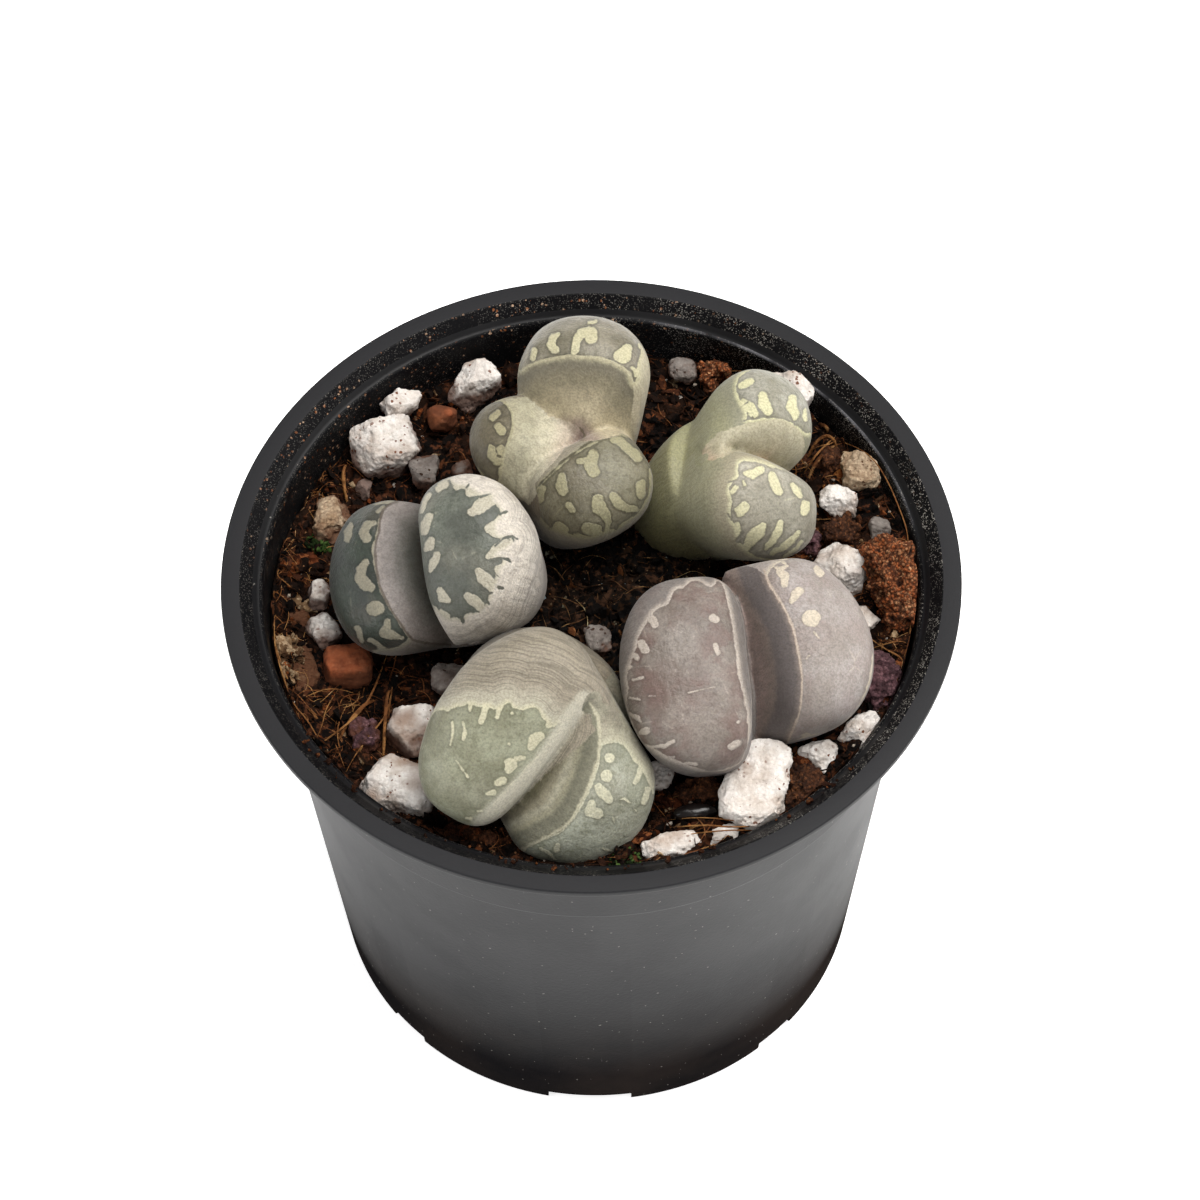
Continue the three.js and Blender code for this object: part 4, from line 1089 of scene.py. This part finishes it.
def softened(outline):  # corners cut once, so that the edge runs in curves
    points = []
    for (x0, y0), (x1, y1) in zip(outline, outline[1:] + outline[:1]):
        points.append((0.75 * x0 + 0.25 * x1, 0.75 * y0 + 0.25 * y1))
        points.append((0.25 * x0 + 0.75 * x1, 0.25 * y0 + 0.75 * y1))
    return points


def outlineReach(points, numbers):  # how far inside an outline each photo point lies, in pixels
    outline = softened(inRows(numbers, 2))
    inside = np.zeros(len(points), bool)
    nearest = np.full(len(points), 999.0)
    for (x0, y0), (x1, y1) in zip(outline, outline[1:] + outline[:1]):
        nearest = np.minimum(nearest, fromSegment(points, x0, y0, x1, y1)[1])
        crosses = (y0 > points[:, 1]) != (y1 > points[:, 1])
        with np.errstate(divide="ignore", invalid="ignore"):
            at = x0 + (points[:, 1] - y0) * (x1 - x0) / (y1 - y0)
        inside ^= crosses & (points[:, 0] < at)
    return np.where(inside, nearest, -nearest)


def meshPoints(mesh):
    points = np.empty(len(mesh.vertices) * 3)
    normals = np.empty(len(mesh.vertices) * 3)
    mesh.vertices.foreach_get("co", points)
    mesh.vertex_normals.foreach_get("vector", normals)
    return points.reshape(-1, 3) / mm, normals.reshape(-1, 3)


def lobeLevels(plant, points):  # how far out each point lies in each upper lobe, and its place in it
    levels, places = [], []
    for lobe in allLobes(plant)[:-1]:
        inverse = np.array(lobeMatrix(plant, lobe).inverted())
        local = points @ inverse[:3, :3].T + inverse[:3, 3]
        centre = lobe["ridge"] * lobe["out"]
        reach = np.where(local[:, 0] < centre, centre + lobe["bulge"], lobe["out"] - centre)
        across = (local[:, 0] - centre) / reach
        beside = local[:, 1] / lobe["half"]
        up = np.maximum(local[:, 2], 0) / lobe["dome"]
        down = np.maximum(-local[:, 2], 0) / lobe["long"]
        level = np.sqrt(across ** 2 + beside ** 2 + up ** 2 + down ** 2)
        for spot in lobe["reach"]:
            distance = np.linalg.norm(points - np.array(fromPhoto(*spot)), axis=1)
            level = np.minimum(level, distance / lobe["own"])
        levels.append(level)
        places.append((across, local[:, 2], lobe))
    return np.array(levels), places


def patternOf(name, mesh):  # the fields that the skin is coloured by, in millimetres
    points, normals = meshPoints(mesh)
    photo = toPhoto(points)
    ray = np.array(cameraAxes()[0]) - points
    facing = (normals * ray).sum(1) / np.linalg.norm(ray, axis=1)
    seen = np.clip((facing - 0.02) / 0.2, 0, 1)
    levels, places = lobeLevels(plants[name], points)
    owner = levels.argmin(0)
    titles = ["pale", "edge", "inner", "crest", "low"] + [f"lobe{k}" for k in range(len(places))]
    fields = {title: np.zeros(len(points)) for title in titles}
    # the side that the photograph doesn't show has a window with a wavy margin and a few marks
    wavy = np.array([noise.noise(Vector(p) * 0.75) for p in points])
    island = np.array([noise.voronoi(Vector(p) * 0.32)[0][0] for p in points])
    for k, pattern in enumerate(patterns[name]):
        mine = owner == k
        spots, show = photo[mine], seen[mine]
        across, height = places[k][0][mine], places[k][1][mine]
        window = outlineReach(spots, pattern["window"])
        pale = -window
        for stroke in pattern["marks"]:
            pale = np.maximum(pale, strokeReach(spots, inRows(stroke, 3)))
        for stroke in pattern.get("veins", []):
            pale = np.minimum(pale, -strokeReach(spots, inRows(stroke, 3)))
        hiddenWindow = (height - 0.3 * places[k][2]["dome"]) / skin["pixel"] + 16 * wavy[mine]
        hiddenPale = np.maximum(-hiddenWindow, 14 * (0.16 - island[mine]) / 0.16)
        hiddenInner = (-0.86 - across) * 40
        inner = outlineReach(spots, pattern["inner"]) if "inner" in pattern else hiddenInner
        crest = np.abs(hiddenInner)
        if "crest" in pattern:
            crest = -strokeReach(spots, [(x, y, 0) for x, y in inRows(pattern["crest"], 2)])
        fields["pale"][mine] = (pale * show + hiddenPale * (1 - show)) * skin["pixel"]
        fields["edge"][mine] = np.maximum(0, -(window * show + hiddenWindow * (1 - show))) * skin["pixel"]
        fields["inner"][mine] = (inner * show + hiddenInner * (1 - show)) * skin["pixel"]
        fields["crest"][mine] = crest * skin["pixel"]
        fields["low"][mine] = np.maximum(0, -height)
        fields[f"lobe{k}"][mine] = 1
    return fields


def skinFields(paint, plant):  # the masks that the lobes of one head share
    fields = {title: paint.attribute(title) for title in ("pale", "edge", "inner", "crest", "low")}
    inputs = {"Vector": paint.spot, "Location": [c * mm for c in plant["at"]],
              "Rotation": headMatrix(plant).to_euler(), "Scale": (1, 1, 7)}
    along = paint.node("ShaderNodeMapping", inputs, vector_type="TEXTURE")
    fields["wobble"] = (paint.height(1000.0) - 0.5) * 0.6
    edges = {"mask": ("pale", -0.07, 0.08), "ring": ("pale", -0.32, -0.08),
             "innerMask": ("inner", -0.05, 0.06)}
    for title, (field, low, high) in edges.items():
        fields[title] = (fields[field] + fields["wobble"]).range(low, high)
    fields["cloud"] = paint.grain(210.0)
    fields["mottle"] = paint.grain(1500.0, 0.5, 0.66)
    fields["patch"] = paint.grain(130.0, 0.48, 0.66)
    fields["patchy"] = paint.grain(380.0, 0.42, 0.58)
    fields["streaks"] = paint.grain(1500.0, 0.44, 0.62, spot=along)
    fields["folds"] = paint.grain(420.0, 0.4, 0.65, spot=along)
    # fine lines that run round the window, at the same distance from it
    spread = fields["edge"] * 3.2
    shift = paint.node("ShaderNodeCombineXYZ", {0: spread, 1: spread, 2: spread})
    rings = paint.spot.vector("SCALE", 160.0, "Scale").vector("ADD", shift)
    fields["rings"] = paint.grain(1.0, 0.46, 0.6, 5.0, spot=rings)
    cracks = paint.cells(230.0, "Distance", feature="DISTANCE_TO_EDGE")
    fields["scratch"] = cracks.range(0.03, 0.0) * paint.grain(420.0, 0.56, 0.62)
    return fields


def lobeColour(fields, look):
    dark = hexColour(look["body"][1], 0.55)
    window = fields["cloud"].mix(*look["window"])
    window = (fields["mottle"] * 0.45).mix(window, look["fleck"])
    window = (fields["patch"] * look["blushShare"]).mix(window, look["blush"])
    if look["rimBlush"]:
        beside = fields["pale"].range(-2.4, -0.3) * fields["patchy"]
        window = (beside * look["rimBlush"]).mix(window, look["blush"])
    window = (fields["scratch"] * 0.3).mix(window, look["pale"])
    # a darker ring round the pale marks and the window's edge: partly their own edge colour, partly painted
    # shade beside the raised marks
    window = (fields["ring"] * look["outline"]).mix(window, hexColour(look["fleck"], 0.6))
    # the body is painted darker further down below the lobes: painted shade
    body = fields["low"].range(1, 10).mix(*look["body"])
    margin = fields["edge"].range(0.5, 3).mix(look["margin"], body)
    pale = fields["edge"].range(0.0, 0.6).mix(look["pale"], margin)
    outer = fields["edge"].range(0.2, 2.0, 0.25, 1.0)
    pale = (fields["streaks"] * look["streak"] * outer).mix(pale, dark)
    pale = (fields["folds"] * look["folds"] * outer).mix(pale, look["blush"])
    pale = (fields["rings"] * look["rings"] * outer).mix(pale, dark)
    colour = fields["mask"].mix(window, pale)
    if look["inner"]:
        deep = fields["crest"] + fields["wobble"] * 1.3
        inner = (fields["streaks"] * 0.22).mix((deep / look["innerWide"]).ramp(look["inner"]), dark)
        colour = fields["innerMask"].mix(colour, inner)
    # a line along the crest: partly the crest's own band, partly painted light and shade of its sharp edge
    if look["lineWide"]:
        near = fields["crest"] + fields["wobble"] * 0.5
        line = near.range(look["lineWide"], 0.3 * look["lineWide"])
        colour = (line * 0.85).mix(colour, look["line"])
    return colour


def plantMaterial(name):
    paint = Paint(name.replace("_", "") + "Skin")
    fields = skinFields(paint, plants[name])
    looks = [{**skinLook, **dict(zip(lookKeys, row)), **row[-1]} for row in skinLooks[name]]
    colours = [lobeColour(fields, look) for look in looks]
    colour = colours[0]
    for k in range(1, len(colours)):
        colour = paint.attribute(f"lobe{k}").mix(colour, colours[k])
    colour = (paint.grain(4600.0, 0.38, 0.64, 2.0) * 0.26).mix(colour, (0.03, 0.026, 0.02))
    mask = fields["mask"]
    relief = paint.height(3600.0, 3.0) * mask.range(0, 1, 0.35, 1.0) + mask * 0.5
    relief = relief + fields["folds"] * 0.5 - fields["streaks"] * 0.4
    return paint.done({"Base Color": colour, "Roughness": mask.range(0, 1, 0.42, 0.56),
                       "Specular IOR Level": 0.4, "Sheen Weight": 0.12, "Sheen Roughness": 0.45,
                       "Subsurface Weight": 0.06, "Subsurface Radius": (0.8, 0.6, 0.35),
                       "Subsurface Scale": 0.001, "Normal": paint.bump(relief, 0.35, 0.00025)})


def makePlant(name):
    plant = plants[name]
    bm = bmesh.new()
    lobeVerts = [addLobe(bm, plant, lobe) for lobe in allLobes(plant)]
    addBridges(bm, plant, lobeVerts)
    mesh = finished(meshFrom(bm, name), REMESH={"mode": "VOXEL", "voxel_size": skin["voxel"] * mm})
    bm = bmeshFrom(mesh)
    smoothAll(bm, skin["relax"])
    bm.normal_update()
    for v in bm.verts:  # slow swells, as in anything that grew
        v.co += v.normal * skin["swell"] * noise.noise(v.co / mm * 0.21) * mm
    mesh = meshFrom(bm, name)
    fields = patternOf(name, mesh)
    # cut finely where a mark's edge runs, so that it stays sharp
    near = (np.abs(fields["pale"]) < skin["fine"]) | (np.abs(fields["inner"]) < skin["fine"])
    bm = bmeshFrom(mesh)
    edges = [e for e in bm.edges if near[e.verts[0].index] or near[e.verts[1].index]]
    bmesh.ops.subdivide_edges(bm, edges=edges, cuts=1, use_grid_fill=True)
    smoothAll(bm, 1)
    mesh = meshFrom(bm, name)
    for title, values in patternOf(name, mesh).items():
        layer = mesh.attributes.new(title, "FLOAT", "POINT")
        layer.data.foreach_set("value", values.astype(np.float32))
    addPiece(name.replace("_", "") + "Skin", mesh, plantMaterial(name), name, name)
    print(name, "has", len(mesh.polygons), "faces")


for plantName in plants:
    makePlant(plantName)
print("plants made")

# loose litter on the soil, kept clear of the plants and the lumps: how many pieces, their size or length in
# millimetres, the radius of hairs, and their colours
litter = {
    "reach": 33.2, "wallGap": 0.5, "seed": 7,
    "crumbs": {
        "crumbsBlack": (1500, (0.4, 1.5), ("070504", "110a07", "1f120c")),
        "crumbsBrown": (900, (0.3, 1.2), ("190e08", "301a0f", "54301b")),
        "crumbsRed": (380, (0.25, 1.2), ("41200f", "653318", "94552d")),
        "crumbsPale": (190, (0.15, 0.5), ("a39788", "c9c0b4", "7d6552")),
        "clumps": (95, (1.2, 3.0), ("0c0705", "1c100a", "381f10")),
    },
    "flakes": {
        "flakesDark": (210, (0.8, 2.4), ("1c0f09", "3b2013", "663a20")),
        "flakesTan": (90, (0.5, 1.6), ("3a2618", "7d6247", "b39b7c")),
    },
    "hairs": {
        "hairsDark": (900, (1.5, 5.0), (0.04, 0.11), ("160c07", "2c190e", "4a2a17")),
        "hairsBrown": (420, (1.5, 5.5), (0.03, 0.07), ("4a2a16", "74472a", "9e6c42")),
        "hairsGold": (60, (2.0, 6.0), (0.025, 0.05), ("85552e", "b08250", "cfa878")),
    },
    "tanPatch": {"place": (284, 660), "wide": 3.0, "number": 50},
}

# single fibres and twigs read in the photograph: height over the soil, radius, and then x and y in turn
fibres = {
    "fibresGold": {"colours": ("7d5230", "a67a4a", "5c3a20"), "ways": [
        (1.2, 0.13, 387, 654, 375, 690, 359, 714, 340, 730, 323, 742),
        (1.0, 0.1, 393, 680, 390, 709, 378, 726, 364, 742, 355, 761),
        (0.9, 0.08, 392, 688, 389, 712, 386, 744),
        (1.6, 0.07, 256, 611, 254, 640, 258, 661, 271, 680, 285, 702),
        (1.0, 0.09, 285, 690, 294, 707, 309, 721, 320, 742), (1.3, 0.11, 264, 645, 280, 664, 292, 688),
        (2.4, 0.07, 861, 426, 864, 447, 877, 463, 893, 484, 906, 508, 919, 532, 929, 556),
        (2.0, 0.06, 774, 355, 750, 363, 727, 370), (2.6, 0.12, 835, 437, 822, 448, 812, 460, 803, 475),
        (2.6, 0.07, 808, 452, 818, 446, 832, 444, 842, 436),
        (2.0, 0.1, 670, 828, 700, 824, 735, 828, 770, 836),
        (1.8, 0.08, 676, 836, 705, 832, 740, 836, 766, 846),
        (1.9, 0.06, 668, 820, 700, 816, 742, 822, 772, 832),
        (1.4, 0.1, 870, 638, 885, 650, 905, 658, 923, 669),
        (1.6, 0.07, 868, 650, 884, 644, 904, 640, 926, 648),
        (1.2, 0.08, 874, 664, 890, 662, 910, 668, 930, 676), (1.5, 0.06, 878, 632, 880, 650, 890, 668),
        (0.8, 0.09, 338, 454, 348, 460, 359, 469), (1.2, 0.07, 298, 540, 300, 553, 306, 566),
        (1.0, 0.08, 307, 507, 314, 519, 321, 530), (1.2, 0.07, 240, 560, 262, 574, 286, 582, 300, 596),
        (1.0, 0.06, 300, 700, 318, 690, 340, 688, 356, 694),
        (0.9, 0.06, 310, 745, 322, 728, 326, 706, 338, 690),
        (0.8, 0.07, 350, 700, 340, 716, 336, 738, 342, 756),
        (0.9, 0.07, 346, 772, 356, 752, 372, 736, 384, 716), (1.0, 0.06, 272, 590, 288, 600, 300, 616),
        (1.0, 0.06, 905, 590, 915, 612, 920, 640),
    ]},
    "twigs": {"colours": ("4a2c18", "6b4426", "8f6a44"), "ways": [
        (1.0, 0.26, 334, 404, 343, 412, 346, 424, 340, 440), (2.2, 0.24, 732, 763, 746, 778, 760, 793),
        (2.4, 0.3, 822, 420, 832, 426, 846, 420), (1.8, 0.22, 806, 486, 812, 468, 824, 452, 838, 444),
        (1.0, 0.2, 262, 668, 276, 676, 288, 690), (0.9, 0.22, 300, 612, 318, 622, 330, 636),
    ]},
}
tufts = [  # where hairs stand thick: x, y and how wide in millimetres, and how many
    (822, 480, 3.2, 45), (290, 560, 3.4, 40), (268, 655, 3.2, 40), (835, 530, 2.6, 30), (330, 700, 4.2, 50),
    (300, 480, 3.0, 40), (400, 770, 2.4, 30), (705, 860, 4.5, 30), (905, 655, 2.4, 30),
]
moss = {"colours": ("161f0e", "2c4019", "4a6230"), "places": [(318, 545, 1.3, 70), (625, 862, 1.6, 80)]}
chunks = {  # torn bark: its colours, then x, y, length, width and thickness in millimetres, and its heading
    "barkTan": (("4e3826", "8a6f52", "b89f80"), [
        (290, 650, 4.4, 1.8, 0.9, -50), (302, 603, 3.2, 1.3, 0.9, -25), (276, 668, 2.6, 1.2, 0.7, -60)]),
    "barkRed": (("2a130a", "5c2f1a", "8a5230"), [
        (704, 792, 4.4, 2.2, 1.4, 15), (668, 800, 3.0, 1.6, 1.0, -30), (738, 772, 2.6, 1.2, 0.8, 60),
        (806, 760, 3.0, 2.0, 1.2, 30), (306, 562, 3.0, 2.2, 1.6, 30), (905, 665, 2.2, 1.4, 1.0, 0),
        (885, 690, 2.6, 1.8, 1.2, 50), (640, 838, 2.4, 1.2, 0.8, 10), (470, 832, 2.6, 1.0, 0.8, -10)]),
    "barkOrange": (("3f1e0e", "7a4522", "a8703f"), [
        (846, 468, 3.4, 1.5, 1.3, 50), (838, 514, 2.8, 2.0, 1.6, 0), (866, 452, 2.0, 1.2, 1.0, 0),
        (828, 494, 2.6, 1.6, 1.2, -60), (252, 560, 2.0, 1.2, 1.0, 20)]),
}
ledge = {"number": 70, "turns": (-150, -40), "reach": (33.9, 35.2), "top": 60.5, "slope": 0.95,
         "size": (0.2, 0.6), "colours": ("1c0f09", "3b2013", "6e4224")}
coir = ("74492a", "9a6c40", "52321c")
potFibres = {
    "fibre_left_1": [(-22, -10.6, -1.6), (-22.6, -11.4, 0.9), (-24.6, -14, 1.3), (-26.2, -17, 0.9),
                     (-26.8, -18.2, -1.6)],
    "fibre_left_2": [(-29.8, -11.2, -1.4), (-29.4, -12, 0.7), (-27.9, -14.2, 1.2), (-27, -16, -1.2)],
    "fibre_left_3": [(-21, -9.4, -1.6), (-20.9, -10.2, 0.9), (-21.2, -13, 1.2), (-21.3, -18, 0.9),
                     (-21.6, -19.2, -1.4)],
    "fibre_back": [(-25.4, 13.6, -1.4), (-25.9, 14.6, 0.9), (-26.2, 16.6, 1.2), (-25.9, 18.6, 1),
                   (-25.8, 19.2, -1)],
    "fibre_right": [(23, 17.6, -1.4), (23.6, 18.4, 0.9), (25.2, 19.4, 1.6), (26.2, 18.9, 1),
                    (26.6, 18.5, -1)],
}


def above(height):
    return Vector((0, 0, height))


def insideWall(point):  # the same point, moved in where it would touch the wall
    out = math.hypot(point.x, point.y)
    limit = wallAt(point.z) - litter["wallGap"]
    return Vector((point.x * limit / out, point.y * limit / out, point.z)) if out > limit else point


def isFree(point, gap):  # whether it lies that far outside every plant and lump
    near, normal, index, distance = solidTree.find_nearest(point * mm)
    return (point * mm - near).dot(normal) > 0 and distance > gap * mm


def freeSpot(draw, gap, centre=None, spread=0.0):
    while True:
        turn = draw.uniform(0, 2 * math.pi)
        out = (spread if centre else litter["reach"]) * math.sqrt(draw.random())
        x = (centre.x if centre else 0) + out * math.cos(turn)
        y = (centre.y if centre else 0) + out * math.sin(turn)
        if math.hypot(x, y) > litter["reach"]:
            continue
        spot = Vector((x, y, soilTop(x, y)))
        if isFree(spot, gap):
            return spot


def onSoil(x, y, over=0.0):  # the point over the soil that the photograph shows at x, y
    point = fromPhoto(x, y, soil["level"])
    for i in range(4):
        point = fromPhoto(x, y, soilTop(point.x, point.y) + over)
    return point


def addBall(bm, spot, turn, size, finer, radius=0.5):  # a round blank for a crumb, a flake or a chunk
    place = Matrix.Translation(spot * mm) @ Euler(turn).to_matrix().to_4x4() @ Matrix.Diagonal((*size, 1))
    return bmesh.ops.create_icosphere(bm, subdivisions=finer, radius=radius, matrix=place)["verts"]


def addCrumb(bm, draw, spot, size, finer=1):
    turn = [draw.uniform(0, 6.28) for i in range(3)]
    sizes = [size * draw.uniform(0.55, 1.3) for i in range(3)]
    for v in addBall(bm, spot, turn, sizes, finer, 0.5 * mm):
        v.co += (v.co - spot * mm) * 1.3 * noise.noise(v.co / mm * 2.6 + spot)


def addFlake(bm, draw, spot, long):
    turn = (draw.uniform(-0.6, 0.6), draw.uniform(-0.6, 0.6), draw.uniform(0, 6.28))
    size = (long * mm, long * draw.uniform(0.3, 0.6) * mm, draw.uniform(0.2, 0.4) * mm)
    for v in addBall(bm, spot, turn, size, 1):
        v.co += noise.noise_vector(v.co / mm * 1.9 + spot) * 0.3 * mm


def addChunk(bm, draw, x, y, long, wide, thick, heading):
    spot = onSoil(x, y, 0.3)
    turn = (draw.uniform(-0.25, 0.25), draw.uniform(-0.25, 0.25), math.radians(heading))
    for v in addBall(bm, spot, turn, (long * mm, wide * mm, thick * mm), 4):
        point = v.co / mm
        torn = noise.noise_vector(point * 1.3 + spot) * 0.45 + noise.noise_vector(point * 3.4) * 0.22
        v.co += torn * mm


def addLitter(bm, name, colours, slot, sharp=180, inside=True):
    if inside:
        for v in bm.verts:
            v.co = insideWall(v.co / mm) * mm
    mesh = meshFrom(bm, name)
    if sharp < 180:
        mesh.set_sharp_from_angle(angle=math.radians(sharp))
    addPiece(name, mesh, soilMaterial(name, *colours), slot)


def makeCrumbs():
    draw = random.Random(11)
    for name, (number, (low, high), colours) in litter["crumbs"].items():
        bm = bmesh.new()
        for i in range(number):
            size = low + (high - low) * draw.random() ** 2
            spot = freeSpot(draw, 0.35 * size)
            addCrumb(bm, draw, spot + above(draw.uniform(-0.1, 0.3) * size), size, 1 if high < 2 else 2)
        addLitter(bm, name, colours, "soil", 35)


def makeFlakes():
    draw = random.Random(12)
    patch = litter["tanPatch"]
    for name, (number, long, colours) in litter["flakes"].items():
        bm = bmesh.new()
        for i in range(number):
            size = draw.uniform(*long)
            addFlake(bm, draw, freeSpot(draw, 0.3 * size) + above(0.15), size)
        for i in range(patch["number"] if name == "flakesTan" else 0):
            spot = freeSpot(draw, 0.3, onSoil(*patch["place"]), patch["wide"])
            addFlake(bm, draw, spot + above(draw.uniform(0.1, 0.7)), draw.uniform(0.5, 1.5))
        addLitter(bm, name, colours, "bark_brown", 45)


def makeChunks():
    draw = random.Random(16)
    for name, (colours, pieces) in chunks.items():
        bm = bmesh.new()
        for piece in pieces:
            addChunk(bm, draw, *piece)
        addLitter(bm, name, colours, "bark_brown", 40)
    bm = bmesh.new()
    for i in range(ledge["number"]):  # crumbs on the pot's shelf at the front
        turn = math.radians(draw.uniform(*ledge["turns"]))
        reach = draw.uniform(*ledge["reach"])
        height = ledge["top"] + ledge["slope"] * (reach - pot["shelfEdge"])
        size = draw.uniform(*ledge["size"])
        spot = Vector((reach * math.cos(turn), reach * math.sin(turn), height + 0.35 * size))
        addCrumb(bm, draw, spot, size)
    addLitter(bm, "crumbsLedge", ledge["colours"], "soil", 35, inside=False)


def newStrands(name, rounder, smoother):
    curve = bpy.data.curves.new(name, "CURVE")
    curve.dimensions = "3D"
    curve.bevel_depth = mm
    curve.bevel_resolution = rounder
    curve.resolution_u = smoother
    curve.use_fill_caps = True
    return curve


def addStrand(curve, points, radius):  # a strand through points in millimetres, thinner at its ends
    spline = curve.splines.new("NURBS")
    spline.points.add(len(points) - 1)
    spline.use_endpoint_u = True
    spline.order_u = 3
    last = len(points) - 1
    for i, (point, place) in enumerate(zip(points, spline.points)):
        place.co = (*(point * mm), 1)
        place.radius = radius * (1 - 0.55 * abs(2 * i / last - 1) ** 3)


def addStrands(curve, name, material, *nodes):
    mesh = finished(curve)
    mesh.shade_smooth()
    addPiece(name, mesh, material, "fibre_gold", *nodes)


def addHair(curve, draw, spot, long, radius):
    heading = draw.uniform(0, 6.28)
    bend = draw.uniform(-0.7, 0.7)
    rise = draw.uniform(0.1, 0.9) * min(1, long / 3)
    points = []
    point = spot.copy()
    for i in range(5):
        lift = rise * math.sin(math.pi * i / 4) + draw.uniform(-0.15, 0.2)
        here = Vector((point.x, point.y, soilTop(point.x, point.y) + lift + 0.05))
        if i > 1 and not isFree(here, 0.1):
            break
        points.append(insideWall(here))
        heading += bend * draw.uniform(0.3, 1.2)
        point = point + Vector((math.cos(heading), math.sin(heading), 0)) * long / 4
    if len(points) > 2:
        addStrand(curve, points, radius)


def makeHairs():
    draw = random.Random(13)
    for name, (number, long, radius, colours) in litter["hairs"].items():
        curve = newStrands(name, 0, 2)
        for i in range(number):
            addHair(curve, draw, freeSpot(draw, 0.2), draw.uniform(*long), draw.uniform(*radius))
        for x, y, wide, count in tufts:
            for i in range(count // 3):
                spot = freeSpot(draw, 0.15, onSoil(x, y), wide)
                addHair(curve, draw, spot, draw.uniform(1.5, 5), draw.uniform(*radius))
        addStrands(curve, name, soilMaterial(name, *colours))


def makeFibres():
    for name, entry in fibres.items():
        curve = newStrands(name, 1, 5)
        for over, radius, *numbers in entry["ways"]:
            way = inRows(numbers, 2)
            heights = [-0.1] + [over] * (len(way) - 2) + [-0.1]
            points = [insideWall(onSoil(*spot, height)) for spot, height in zip(way, heights)]
            addStrand(curve, points, radius)
        addStrands(curve, name, soilMaterial(name, *entry["colours"]))
    draw = random.Random(14)
    material = soilMaterial("coir", *coir)
    for node, way in potFibres.items():
        curve = newStrands(node, 1, 6)
        points = [Vector((x, y, soilHeight(x, y) + over)) for x, y, over in way]
        addStrand(curve, points, 0.17)
        for i in range(3):  # thinner hairs that split from it
            shifted = [p + Vector([draw.uniform(-0.28, 0.28) for k in range(3)]) for p in points]
            addStrand(curve, shifted, 0.06)
        addStrands(curve, node.replace("_", "") + "Strand", material, node)


def makeMoss():
    draw = random.Random(15)
    bm = bmesh.new()
    for x, y, wide, number in moss["places"]:
        for i in range(number):
            spot = freeSpot(draw, 0.05, onSoil(x, y), wide)
            addCrumb(bm, draw, spot + above(draw.uniform(0, 0.5)), draw.uniform(0.25, 0.6))
    addLitter(bm, "moss", moss["colours"], "soil", inside=False)


noise.seed_set(litter["seed"])  # so that flakes and bark bend the same way each time
makeCrumbs()
makeFlakes()
makeChunks()
makeHairs()
makeFibres()
makeMoss()
print("litter made")
